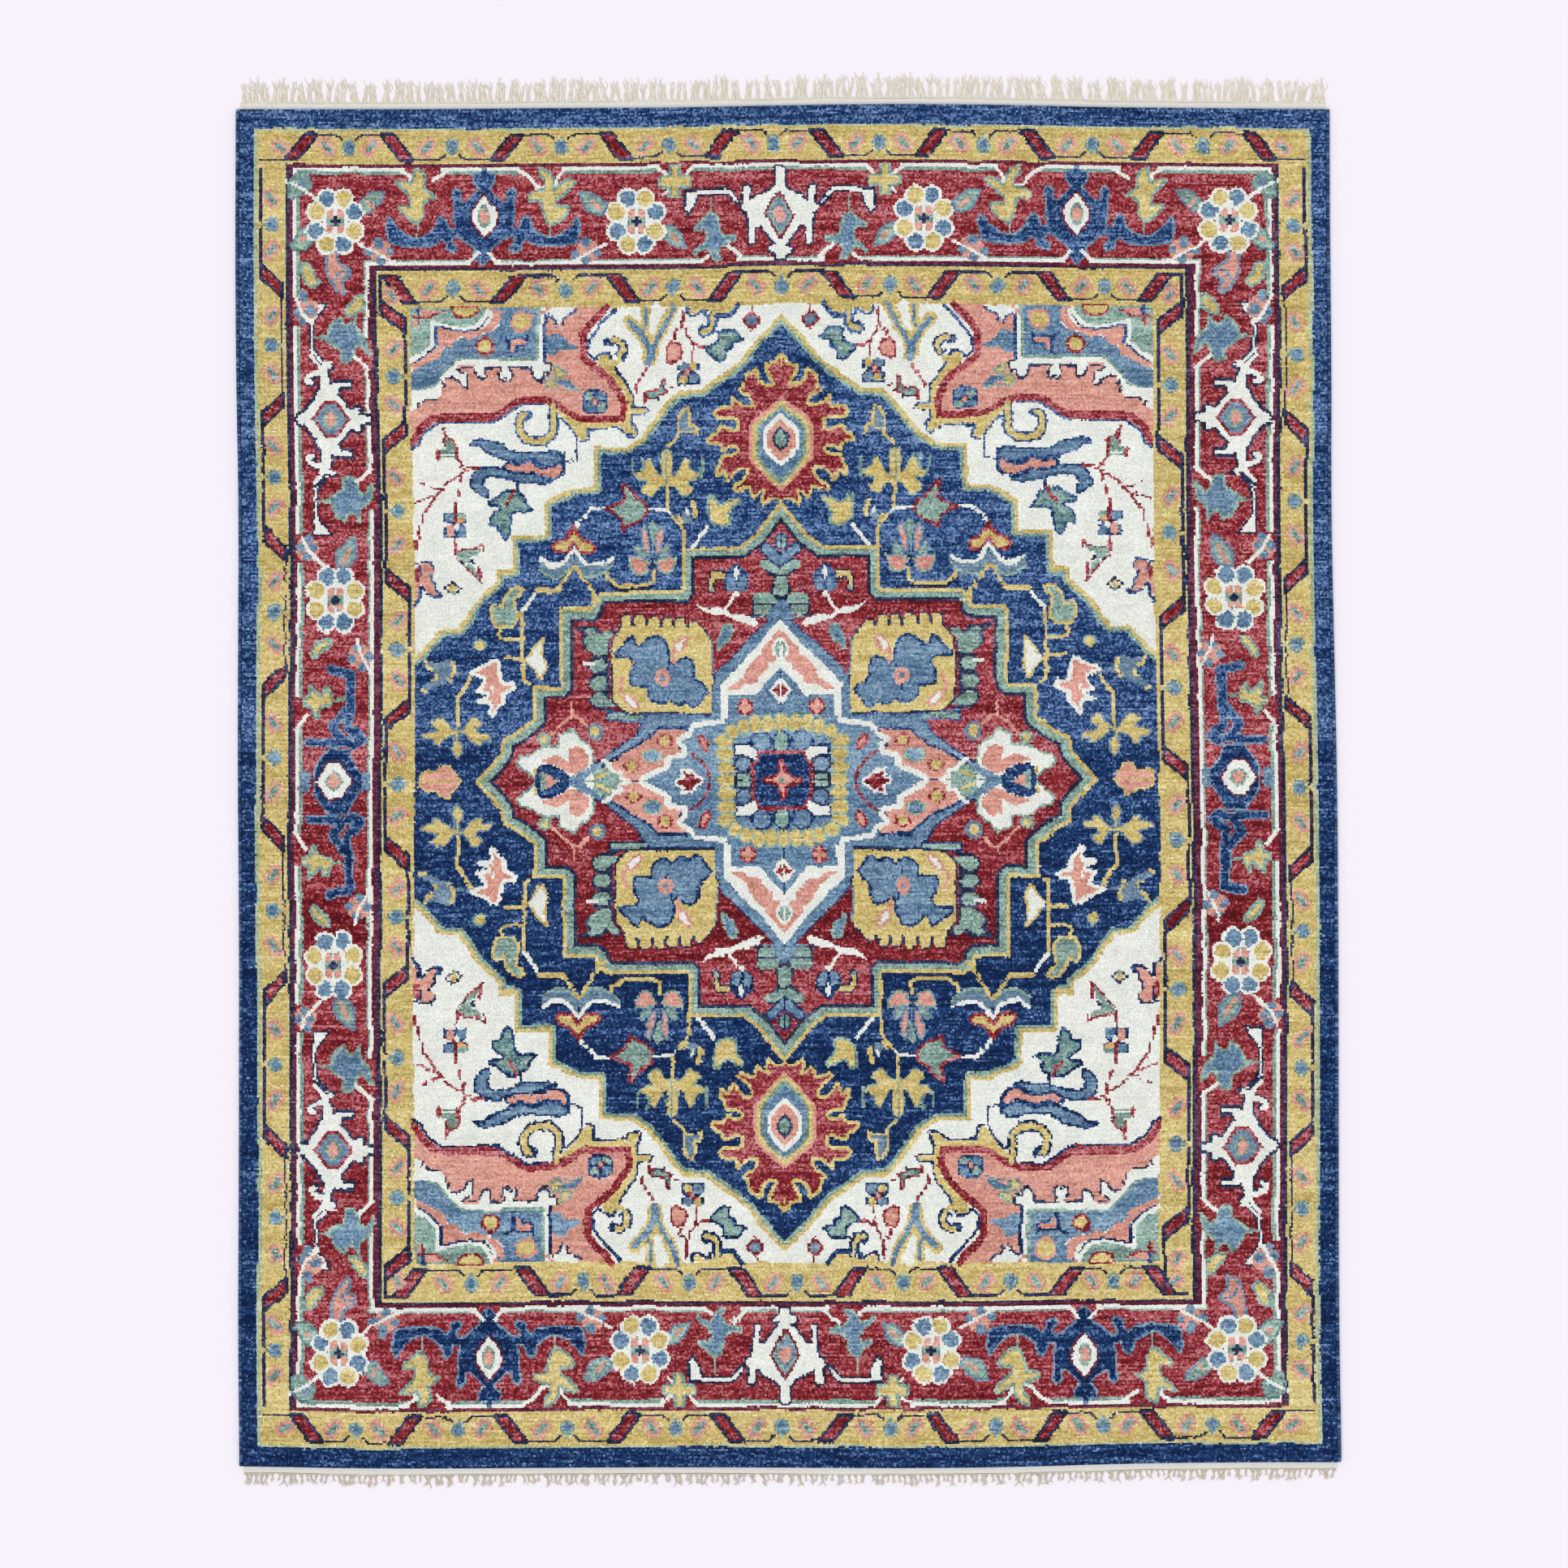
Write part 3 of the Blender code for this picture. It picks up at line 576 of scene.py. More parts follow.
    chart.area("moss", "70,218.3 66.5,218.8 66,223.3 64.5,225 64,218 62,217 66,215.8 70,213.7 76,214.8 "
        "74.5,217.5", "red", 1.2)
    chart.area("sage", "71,217 66.5,217.5 65.3,222 65,217.5 70,214.8 74,215.5")
    chart.line("dark", 1, "71,213.7 67,213.5")


def draw_spandrel(chart):
    """The salmon corner with its dark red edge, the blue and sage cartouche, and gold scrolls."""
    pink = ("207,188 203.5,188 200,193.5 196,198.5 192,201.5 160,201.5 154,204.5 148,208.5 143,211.5 "
            "131,211.5 124,209"
            " 117,205.5 111,201.5 84.5,201.5 84.5,212 87,217.5 91,222 96,228 101,231.5 107,235 111,238 "
            "111.5,249"
            " 108,255 103,260 97,266 207,266")
    chart.area("pink", pink)
    chart.line("red", 4, "206,189.5 204,194 200,199 195,203 190,204 160,204 153,207.5 147,212 141,213.8 "
        "131,213.6 124,211 116,206 110,203.2 86.5,203.2 86.5,212 90,218.5 95,225 100,229.5 106,234 "
        "109.8,238 110,249 106.5,255 101,260.5 96.5,265.5")
    chart.line("navy", 1.5, "206.5,186.5 203,188.5 201.5,192 199,195.5 194,199.5 191,201.2 160,201.2 "
        "154.5,203.8 148,208.3 143,211 131,211")
    chart.line("navy", 1.6, "91.5,264.5 94,262 98.5,257.5 101.5,253 104.5,249.5 106.5,247 107,240 105,237 "
        "102.5,235.8")
    # inner leaves of the salmon ground
    chart.area("blue", "130,249 126,252 121.5,251 120,247.5 117,245.5 113,243 114,241 119,241.5 122,242 "
        "125,238.5 127.5,238 130,240")
    chart.area("blue", "124,223.5 121.5,226 118,226 114.5,223.5 112,219.5 116,220 120,221.5")
    chart.line("sage", 1.3, "125,224 121,227 117.5,229.5")
    chart.line("sage", 1.3, "122,219.5 118,220.3 112,218.3")
    chart.area("gold", "125.5,231.5 122,231.8 119,228.5 120,226.8 124,227", "sage", 1.2)
    chart.area("gold", "130.5,224.5 128,226.5 125.5,225.5 124,221.5 126,219.8 129,221", "sage", 1.2)
    chart.line("gold", 1.3, "125.6,234 127,229")
    # the flower near the point
    chart.area("navy", "109.5,217 106,219.5 100,219.5 95.5,217 95.5,209 98,206.3 107,206.3 110,208.5")
    chart.disc("sage", 105.6, 215.4, 2.5, 2.5)
    chart.disc("blue", 99, 215.6, 2.7, 2.5)
    chart.disc("blue", 105.5, 209.5, 2.6, 2.3)
    chart.disc("sage", 98.7, 209.6, 2.4, 2.2)
    chart.line("red", 1.8, "103.5,213.3 101.5,211.5")
    chart.disc("pink", 102.6, 212, 1.4, 1.4)
    # ivory strap round the cartouche
    chart.area("ivory", "207,207 200,214.5 193,216 189,219 187,224 184,227.5 180,232 178,236 131,236 "
        "131,264 119,264 113,264 118,261 121.5,260 123.5,255 126.5,260 131,261.5 136,261.5 136,266 131,266 "
        "131,264 207,264")
    chart.area("ivory", "207,220 207,206.5 203,209 200,213.5 192.5,214.6 189.5,217 188,222 186,225.5 "
        "183,226.5 180,225.5 177,222 174.5,220.5 173.5,226 174.5,229 177,229.5 180,231 179,234 171,233 "
        "170,229 168,226.5 165.5,225 164.5,227 164.5,232 154,232 154.5,231 156.5,228.5 155,225 152.5,224.2 "
        "149.5,225 148,228 149.5,231 149.5,232.3 138.5,232.3 137,228 135,224.8 132,224.5 130.5,227.5 "
        "127.5,229.5 126.5,234 131,235.3 131,261 134,261 134,237.5 134,235.5 178,235.5 186,230.5 191,224 "
        "200,217.5")
    chart.line("dark", 1.3, "202.5,212 201.5,209.5")
    chart.line("dark", 1.2, "200,213 198,214 192,214.3")
    chart.line("dark", 1.5, "189.3,219.5 189,217.5")
    chart.line("dark", 1.5, "187.6,223.5 187.3,221.5")
    chart.line("dark", 1.3, "185.5,225.8 183,226.5 179.5,225 176.5,221 174,220.5 174,228")
    chart.line("dark", 1.2, "180,231 177,229 175.5,229.5")
    chart.line("dark", 1.2, "176.5,232.3 172,231.7")
    chart.line("dark", 1.3, "170.2,230.5 168,226.5 165.3,225 164.3,226 164.2,231.5 155,231.8 154.6,230.5")
    chart.line("dark", 1.4, "156.6,229 156,225.5 153.5,224.2")
    chart.line("dark", 1.4, "150,224.5 148.2,227 149.3,229.5 150.5,231.8 138.5,231.6 137,227 134.5,224.3 "
        "132,224.5")
    chart.disc("dark", 152.3, 225.8, 1.2, 0.9)
    chart.line("dark", 1.4, "131.5,225.5 130.7,229 128,228.3")
    chart.line("dark", 1.3, "127,230 126.5,233.2 130.5,234.5")
    chart.line("navy", 1.8, "130.6,235.5 130.6,260.5")
    # blue panel
    chart.area("blue", "207,219.5 200,219.5 193,221.5 188,228.5 184,232 179,236.3 134.5,236.3 134.5,266 "
        "158,266 160,263 156,256 160,252 168,250 181,247.5 190,241 198,236 203,231.5 207,229")
    chart.line("sage", 1.5, "134.6,236.8 134.6,265")
    chart.line("sage", 1.4, "200,219.8 193,222 188,228.8 182,235 179,236.8 134.6,236.6")
    chart.area("pink", "206,229.5 203,231.5 198,233.5 196,235 190,238 188,243.5 184,244 181,247 178,249.5 "
        "172,247.5 166,251 160,252 157.5,255 156,258 155.5,263 158.5,264.5 160.5,258 165,254 168,253 "
        "174,252.5 180,253 190,254.5 191,244.5 195,240.5 200,236.8 205,234.5")
    chart.area("sage", "207,266 163,266 165,260 168,255.5 175,253 182,254.5 191.5,256 194.5,259 194.5,246 "
        "200,240 207,236.5")
    chart.line("ivory", 1.8, "206,236.8 199.5,239.5 194,244 194,258 191,256.8 182,254.5 175,253.6 "
        "168.5,255.3 165.8,258 163.5,261.5 162,265")
    chart.line("navy", 1.9, "191.8,255 191.9,245")
    chart.line("navy", 1.1, "190,255.2 182,253.3 175,252.3 168,253.5 165,255.5 163.5,258.5 161.5,260.5")
    chart.line("navy", 1.1, "203.5,235 200,237 196.5,240 193,243.5")
    chart.area("gold", "182.5,266 181.5,263 179,260.8 174,259.8 170,261 168,264 168,266", "red", 1.3)
    chart.area("pink", "200.5,264 192,264.5 189,262.5 194,260.5 200,260")
    chart.line("red", 1.2, "188,263.5 193,261.5 194,260")
    chart.line("red", 1.5, "205,260.3 194,259.8")
    chart.line("pink", 1.6, "204,259 203.5,255")
    chart.line("red", 1.8, "201.7,259.5 202,255")
    chart.line("navy", 1.8, "201.8,266 201.8,261")
    chart.disc("gold", 163.8, 243.8, 4.6, 4.6, "red", 1.8)
    chart.disc("gold", 144, 257.6, 5.2, 5.2, "pink", 1.6)
    chart.line("navy", 1.5, "156,250 152,248.5 150.3,245 150.3,238.3")
    chart.line("navy", 1.5, "152,238.2 149.3,238.2")
    chart.line("navy", 1.4, "150,247.7 141,247.8 140,245 145,243.6 146.3,241")
    chart.line("pink", 2, "148.5,241 148.3,246 141.5,246")
    chart.line("navy", 1.4, "139.8,249.5 140,245.5")
    chart.area("pink", "138,258 140,261 137.8,262")
    # salmon bud between the straps
    chart.area("pink", "129.5,261 129.5,254 126,251 124.5,255 126,258.5")
    chart.line("navy", 1.4, "129,261.5 126,259.7 124.4,257 124,255")
    chart.line("navy", 1.4, "120.6,256.5 121.3,260 117,261.5 113,264")
    chart.area("ivory", "129,265.5 114,265.5 118,262.3 122.3,261 123,256 124.5,260.5 129,262.5")
    # gold scroll under the point
    chart.line("navy", 5.6, "140,205 144,204.3 145.3,201 144.8,196 142,191.6 137,190.2 131,190.6 127,193.5 "
        "125.3,198 126.3,203 126,209")
    chart.line("gold", 3.2, "142,205.3 144,204.3 145.3,201 144.8,196 142,191.6 137,190.2 131,190.6 "
        "127,193.5 125.3,198 126.3,203 126,210.5")
    chart.disc("navy", 138.6, 205.3, 1.2, 1.8)
    chart.area("gold", "128,210.5 119,206.5 112,202 85.5,201.5 85,207.5 82,207.5 81.5,199.5 80.8,194 "
        "85,194.5 89,198 107,198.3 107,193 110,190 112.8,193 115,197.5 119,202 123,205.5")
    chart.line("navy", 1.4, "124,195.5 123,203 121,202.6 117,199 115,196 113.2,192 113,186 112.7,181.5")
    chart.line("navy", 1.2, "115.5,180.2 113.5,180")
    chart.line("navy", 1.2, "119.3,179.2 117.3,178.8")
    chart.line("navy", 1.3, "110.5,189.8 106.3,191 106.5,197.6 90,197.8 87,195.6 84.5,193.7 81.2,193.3")
    chart.line("navy", 1.6, "79.7,194.5 81,198.5 82.2,201 82,206")
    # gold band outside the point, and the curl at its end
    chart.area("gold", "85,207 85,213 87,218 91,223 97,229.5 102,234 100,239.5 96,240 93,237.5 90.5,235.5 "
        "91.5,231 88,226 84.5,221.5 82.3,215.5 81.7,210 75,209.5 75,206.8")
    chart.line("navy", 1.3, "82,206 75.3,205.8")
    chart.line("navy", 1.3, "74.8,210 81.5,209.7 82,216 84.3,221.5 88.3,226.5 91.3,230 91.8,233 90,236")
    chart.line("navy", 1.7, "74.3,208.7 73.6,207")
    chart.line("navy", 5.2, "95.5,246 91.5,246.8 88,245 86.8,241.5 88,238")
    chart.line("gold", 2.6, "95,246.6 91.5,247 88.2,245 87,241.5 89,237 91,235")
    chart.line("navy", 2, "95.9,247 95.8,244")
    chart.line("navy", 1.5, "103,237 101,238.6 98,239.6 95,239.3 94.4,237")
    chart.line("navy", 1.8, "92,239.5 91.2,238.6")
    # blue trident
    chart.line("gold", 7.2, "72.5,236 72.7,241 74.5,246.5 79,252.5 84,258")
    chart.line("gold", 6.4, "74,246 74.2,256 74.5,264")
    chart.line("gold", 6.6, "71.5,236 71,242 68.5,248 64.5,255 61.5,261 60,266")
    chart.line("ivory", 4, "69,266 70.5,258 71,252")
    chart.line("ivory", 3, "81,264 78.5,259")
    chart.line("blue", 3.4, "72.3,234 72.5,241 75,247 79,252 83.5,257")
    chart.line("blue", 1.8, "77,250 74.3,256 74.5,265")
    chart.line("blue", 2.8, "71.5,236 70.7,242 67.5,249 63.5,255.5 60.5,262 59.5,266")
    for u, v in ((73.7, 230.2), (75.4, 227.5), (77.7, 224.3)):
        chart.line("red", 1.7, [(u - 0.5, v + 0.6), (u + 0.5, v - 0.6)])
    chart.line("red", 1.6, "79.4,222 79.3,218.5")
    chart.line("red", 1.9, "75.6,215.5 75.6,212.5")


# The plain stripes between the borders, as the half width and half length each fills, from the edge inwards.
FRAMES = (
    ("navy", 303, 378), ("green", 294.6, 367), ("gold", 292.6, 365.5), ("dark", 276.5, 346.3),
    ("maroon", 274.7, 344.9), ("ivory", 272.3, 344.2), ("sage", 270.3, 342.2), ("red", 269, 341),
    ("sage", 232.7, 292.3), ("ivory", 231.4, 291.4), ("maroon", 229.3, 289.3), ("dark", 226.7, 288),
    ("gold", 225, 286.3),
)
# Where the middle of each petal of a rosette sits from the rosette's own middle.
ROSETTE = ((4.8, 12.8), (10.7, 5.4), (10.7, -5.4), (4.8, -12.8), (-4.8, -12.8), (-10.7, -5.4), (-10.7, 5.4),
        (-4.8, 12.8))


def draw_stripes(chart):
    for yarn, across, along in FRAMES:
        chart.area(yarn, [(-1, -1), (across, -1), (across, along), (-1, along)])
    chart.line("maroon", 1.6, "-1,345.5 275,345.5")


def draw_rosette(chart, u, v, yarns):
    """Eight round petals outlined in ivory about four pink squares and a dark cross."""
    chart.disc("ivory", u, v, 7.5, 10)
    for index, (across, along) in enumerate(ROSETTE):
        chart.disc(yarns[index % len(yarns)], u + across, v + along, 5.2, 5.2, "ivory", 1.5)
    chart.disc("sage", u, v, 5.0, 7.4)
    for across in (-2.7, 2.7):
        for along in (-4.4, 4.4):
            chart.disc("pink", u + across, v + along, 2.1, 2.4)
    chart.line("ivory", 1.0, [(u, v - 8), (u, v + 8)])
    chart.line("dark", 2.0, [(u - 2, v), (u + 2, v)])
    chart.line("dark", 2.0, [(u, v - 2.4), (u, v + 2.4)])


def draw_sprig(chart, u, v, stem, petals):
    """A small four-petalled flower in pink shading, with an ivory stem running through it."""
    chart.disc("pink", u, v, 6.5, 6.5)
    for across, along, across_radius, along_radius in petals:
        chart.disc("blue", across, along, across_radius, along_radius, "pale", 1.0)
    chart.line("ivory", 1.7, stem)


PALMETTE_ROW = 203            # where the ivory palmette of the side border sits


def mirrored(text, middle, mirror):
    """Points of a chart reading, turned over about a row of knots when mirror is -1."""
    return np.array([(across, middle + mirror * (along - middle)) for across, along in read(text)])


def draw_side_border(chart):
    """The red border down the sides, from the middle of the rug out to its corner."""
    # The plain ivory stripe opens where a leaf or a flower crosses it.
    for yarn, outline in (
        ("red", "273,31 273,47 269,47 269,31"), ("red", "273,123 273,139 269,139 269,123"),
        ("red", "233,153 233,173 228,173 228,153"), ("red", "233,232 233,249 228,249 228,232"),
        ("red", "273,256 273,272 269,272 269,256"),
    ):
        chart.area(yarn, outline)
    # A navy palmette sits across the middle.
    chart.area("navy", "262,-1 262,6 260,10 257,14 254,18 243,18 241,12 238,7 236,5 232,4 232,-1", "blue",
        1.1)
    chart.area("ivory", "262,-1 259,3 257,6 256,9 252,10.5 248,10 245,7 243,4 241,1 240,-1", "maroon", 1.1)
    chart.area("pink", "256,-1 254,3 251,4.5 248,3 246,-1", "sage", 1.5)
    chart.disc("blue", 267, 2.5, 2.6, 3.2, "pale", 1.0)
    chart.disc("blue", 233, 2.5, 2.0, 2.6, "pale", 1.0)
    # A blue twig climbs from it.
    twig = ("242.5,38 242.5,60", "242,60 253,62.5", "245,39 249,33.5 252,30 249,26 246,22",
            "243,38 243,29 239,26", "239,27 236,22.5 240,20.5 244,22", "247,22 255,21 265,21")
    for yarn, width in (("blue", 5.6), ("navy", 3.6)):
        for path in twig:
            chart.line(yarn, width, path)
    chart.line("ivory", 2.2, "272,29 269,33 266,37")
    chart.area("gold", "268,45 264,47 265,54 263,52 259,48 257,47 256,53 254,51 252,46 252,43 257,42 "
        "260,40 261,35 263,37 264,41 268,43", "sage", 1.8)
    chart.line("sage", 1.6, "252,45 245,46")
    chart.area("gold", "264,70 262,75 258,79 253,80 254,76 258,72 262,68", "sage", 1.8)
    draw_sprig(chart, 237, 70, "239,80 237,72 232,62 230,57", ((242, 69, 2, 2), (232, 70, 2, 2), (238, 75,
        2, 2), (236, 64, 2, 2)))
    draw_rosette(chart, 251, 101.5, ("blue", "gold", "gold", "blue"))
    draw_sprig(chart, 267, 130, "258,121 262,125 267,130 270,137", ((264, 131, 2, 2), (267, 126, 2, 2),
        (271, 131, 2, 2), (266, 136, 2, 2)))
    chart.area("sage", "250,119 250.5,126 249,130 246,132.5 243,135 239.5,137 239,131 240,124 244,120",
        "pale", 1.7)
    chart.line("pink", 2.0, "247,122 243,130")
    # Ivory hooks lead to the ivory palmette, and the same again beyond it.
    for mirror in (1, -1):
        chart.area("ivory", mirrored("263.4,165 263.4,138 253.5,138 255,141 258,144.5 261,149 260.8,164",
                PALMETTE_ROW, mirror),
            "dark", 1.1)
        hook = mirrored("262.3,164 260.5,167 257,170 255.5,173 255.8,179", PALMETTE_ROW, mirror)
        chart.line("dark", 3.4, hook - (1.0, 0))
        chart.line("ivory", 2.2, hook)
        chart.line("ivory", 2.0, mirrored("257,171 251.5,171.4", PALMETTE_ROW, mirror))
        chart.area("blue", mirrored("258,157 254,158 252,160 248,163 245,165 246,170 242,171 239,168 "
                                    "238,163 "
            "235,160 232,164 229,167 231,158 234,155 237,152 237,145.5 239,149 243,151 246,145.5 249,148 "
            "252,152 253,156", PALMETTE_ROW, mirror), "sage", 1.6)
        chart.line("sage", 1.6, mirrored("262,157 256,157", PALMETTE_ROW, mirror))
        chart.line("ivory", 2.0, mirrored("230,175 234,171 238,168", PALMETTE_ROW, mirror))
    # The palmette is a blunt diamond whose corners run out into arms, with a hooked stem above and below.
    outline = read("272,203 270.5,206 266.5,207.8 264.5,211 261.2,214.8 260.5,218 258,221 258.2,227 "
                   "256.5,231 253,229.5 "
                   "251.5,223.6 248.6,224.8 240,224.4 240,220.8 246,220.4 247.4,216.8 243.6,213 "
                   "240.4,208.8 237.2,210.4 "
                   "234.6,210 234.2,206 229,205.2 229,203")
    outline = np.vstack([outline, [(u, 2 * PALMETTE_ROW - v) for u, v in outline[::-1]]])
    chart.area("ivory", outline, "dark", 1.6)
    chart.line("ivory", 1.6, "257,214 249,214 241,204 241,202 249,192 257,192")
    for mirror in (1, -1):
        stems = [mirrored(text, PALMETTE_ROW, mirror) for text in ("255.2,229 258.5,234.5 262.5,238.5",
                                          "256.5,229 261,228.6 264.6,226.8 264.8,224.4 263,223.4",
                                          "256.5,231.5 252,233")]
        for yarn, width, lower in (("dark", 4.2, 0.6), ("ivory", 2.8, 0.0)):
            for stem in stems:
                chart.line(yarn, width, stem - (lower, lower))
        chart.line("ivory", 3.6, mirrored("255.9,221 255.6,230", PALMETTE_ROW, mirror))
    chart.area("red", "255.4,213.6 248.6,213.6 240.8,203 248.6,192.4 255.4,192.4 263.2,203")
    chart.area("pale", "254.8,211.6 249.2,211.6 242.8,203 249.2,194.4 254.8,194.4 261.2,203")
    chart.disc("pink", 252, 203, 3.6, 4.8, "sage", 1.4)
    # Beyond it, a sprig, two gold leaves and the pink leaf under the corner rosette.
    draw_sprig(chart, 264.5, 265, "271,272 268,265 264,259 261,256", ((266, 272, 2, 3), (262, 264, 2.5,
        2.5), (269.5, 263, 2, 2.6), (266.5, 258, 2, 2)))
    chart.area("gold", "268,291 263,290 261,285 257,280 260,277 264,279 267,283", "sage", 1.7)
    chart.area("gold", "233,273 237,272 240,268 243,263 243,261 238,262 234,265 232,268", "sage", 1.7)
    chart.area("pink", "248,297 253,297 254,288 252,282 248,276 244,273 243,277 245,281 240,284 241,288 "
        "244,289 247,292", "pale", 1.8)
    chart.line("blue", 1.6, "249,281 246,286 241,286")


def draw_end_border(chart):
    """The red border across the ends, from the middle of the rug out to its corner."""
    for outline in ("50,346 68,346 68,341 50,341", "122,345 146,345 146,341 122,341",
            "190,345 210,345 210,341 190,341",
                    "25,293 44,293 44,288.5 25,288.5", "159,293 172,293 172,288.5 159,288.5"):
        chart.area("red", outline)
    # The ivory palmette at the middle, with its four arms.
    chart.area("ivory", "-1,343 2.2,342.5 3.4,339 2.8,334 4.5,331.8 8,329.3 11,328.2 14,325.5 16.3,324 "
        "16.3,331 18,333 20.8,332 20.5,323 23,321 25.5,323 29,327 31,327.8 46,327.8 47.5,322 51,316.5 "
        "53.7,319 53.2,330.5 30,331 26.3,328.8 23.6,324.5 21.5,318 18.8,316.5 18.2,309 17.8,299 14.2,299 "
        "13.8,308.5 11.5,309.3 9,305.5 5.8,301.5 3.2,299.2 6.8,297.5 6.3,294.3 3.5,293.3 3,290 -1,289.5",
        "dark", 1.3)
    chart.area("red", "-1,329 0.5,328.6 4,323.5 7.8,316 4,308 0.5,302 -1,301.6", "maroon", 1.0)
    chart.area("blue", "-1,326 0.5,325.5 3.4,321 6,316 3.4,310 0.5,305 -1,304.5", "sage", 1.3)
    chart.disc("pink", 0, 315.5, 3.4, 4.6)
    # A gold cross flower on the outer stripe.
    chart.line("ivory", 1.9, "69,343 64,339 60,338")
    chart.line("ivory", 1.9, "48,343.5 52,340 53,336")
    chart.area("gold", "61.5,344 61.5,338 67,338 67.5,333 61.5,332 61.5,327 56.5,327 56.5,332 50,333 "
        "50,338 56.5,338 56.5,344", "sage", 1.8)
    chart.line("ivory", 1.4, "63,331 65,328")
    # A blue leaf over the inner stripe.
    chart.line("ivory", 2.0, "20,290.5 25,295 29,298")
    chart.line("ivory", 2.0, "45,290.5 40,293.5")
    chart.line("sage", 1.6, "39,316 39,326")
    chart.area("blue", "40,317 36,316 35,313 34,309 33,305 30,304 25,303.5 25,301 30,300.5 33,299 35,295 "
        "33,291 37,291.5 39,295 41,298 45,297 48,294.5 49,296 46,299 42,301 41,306 42,309 46,308 48,308 "
        "47,311 43,313", "sage", 1.4)
    chart.area("sage", "66,311 62,311 58,309 55,305 54,301 53,298.5 57,299 61,300 63,303 66,305", "pale",
        1.4)
    chart.line("pink", 1.8, "61,306 57,302")
    draw_rosette(chart, 80.5, 313.5, ("blue", "gold"))
    chart.area("sage", "112,330 106,330 101,327 96,323 97,319 100,317 104,318 108,320 110,325", "pale", 1.4)
    chart.line("pink", 1.8, "105,325 100,320")
    draw_sprig(chart, 107, 297, "116,290.5 110,294 105,297 101,299 96,301", ((108, 302, 2.5, 2.5), (114,
        295, 2, 2), (101.5, 296, 2, 2), (108, 292, 2, 2)))
    # The navy palmette, its long arms mirrored about its own middle.
    for mirror in (1, -1):
        about = lambda text: np.array([(165 + mirror * (u - 165), v) for u, v in read(text)])
        chart.area("navy", about("164,344 168,341 171,341 171,337 168,332 171,329 175,325 178,325 178,331 "
            "181,332.5 183,330 182,325 182,318 181,310 185,310 186,314 188,317 191,316 192,310 196,307 "
            "200,305 206,305.5 210,308 214,312 217.5,316 219,312 218,304 216,301 210,300.5 203,300 "
            "196,300.5 192,301 189,304 186,302 186,298 181,296.5 180,299 183,303 182,306 178,305 173,301 "
            "170,299 170,294 166,290 164,290"), "blue", 1.3)
    chart.line("navy", 3.0, "165,296 165,341")
    chart.area("ivory", "165,330 168,326 170,323 172,320 172,314 170,311 167,307 165,305 162,307 160,310 "
        "158,313 157,318 158,322 161,325 163,328", "maroon", 1.2)
    chart.disc("sage", 165, 317, 3.8, 6.5)
    chart.disc("pink", 165, 317, 2.8, 4.2)
    chart.line("ivory", 2.0, "175,290.5 171,293 168,296")
    chart.line("ivory", 2.0, "155,290.5 159,293 161,296")
    # Gold leaves hang from the outer stripe on each side of it.
    chart.line("ivory", 2.0, "146,342.5 140,339.5 136,334 131,332")
    chart.line("ivory", 2.0, "119,343.5 123,339.5 125,335")
    chart.area("gold", "134,344 129,342 126,338 126,332 122,335 118,337.5 115,336 117,333 121,329 125,326 "
        "125,322 119,323 117,321 120,316 124,313 127,312 130,314 132,320 133,326 136,326 140,326 140,329 "
        "136,331 131,332 131,337 134,340", "sage", 1.7)
    chart.line("sage", 1.6, "128,313 128,305")
    chart.line("ivory", 1.9, "212,343 207,340 206,337")
    chart.line("ivory", 1.9, "185,343 190,339.5 194,337.5")
    chart.area("gold", "204,344 199,342 198,336 199,333 195,330 192,327 196,327 199,324 199,318 201,314 "
        "204,313 208,317 212,320 213,323 209,323 206,322 206,326 208,330 211,333 215,337 210,337 206,335 "
        "205,338", "sage", 1.7)
    chart.line("sage", 1.6, "202,313 202,305")


def draw_corner_border(chart):
    """The corner of the red border: a rosette with a leaf or a flower on each side of it."""
    chart.line("ivory", 2.0, "276,337 268,333 262,329 257,324")
    chart.area("sage", "274.5,337 270,341.5 265,341 263,338 262,334 264,331 267,330 270,326.5 274.5,328",
        "moss", 1.2)
    chart.disc("pale", 267, 336, 2.5, 3)
    chart.line("ivory", 1.7, "274,336 268,333.5 262,329")
    chart.area("sage", "262,311 266,311 270,307 272,303 274,300 272,298 266,298 262,301 261,305", "moss",
        1.3)
    chart.disc("pink", 267, 304, 2.0, 1.6)
    chart.area("sage", "234,325 230,329 226,331 220,331 222,327 226,322 230,319 234,320", "pale", 1.4)
    chart.line("pink", 1.8, "230,326 227,322")
    draw_sprig(chart, 222.5, 297, "237,304 231,299.5 224,296 217,292 212,290.5", ((224, 302, 2.2, 3),
        (217.5, 297.5, 2, 2), (229.5, 297, 3, 1.6), (223, 292.5, 2, 2.4)))
    draw_rosette(chart, 248.5, 314.3, ("blue", "gold"))


def draw_rug(chart):
    draw_stripes(chart)
    for draw in (draw_medallions, draw_centre, draw_gold_square, draw_red_ground, draw_navy_ground,
            draw_flame,
                 draw_ivory_ground, draw_spandrel, draw_side_border, draw_end_border, draw_corner_border):
        draw(chart)


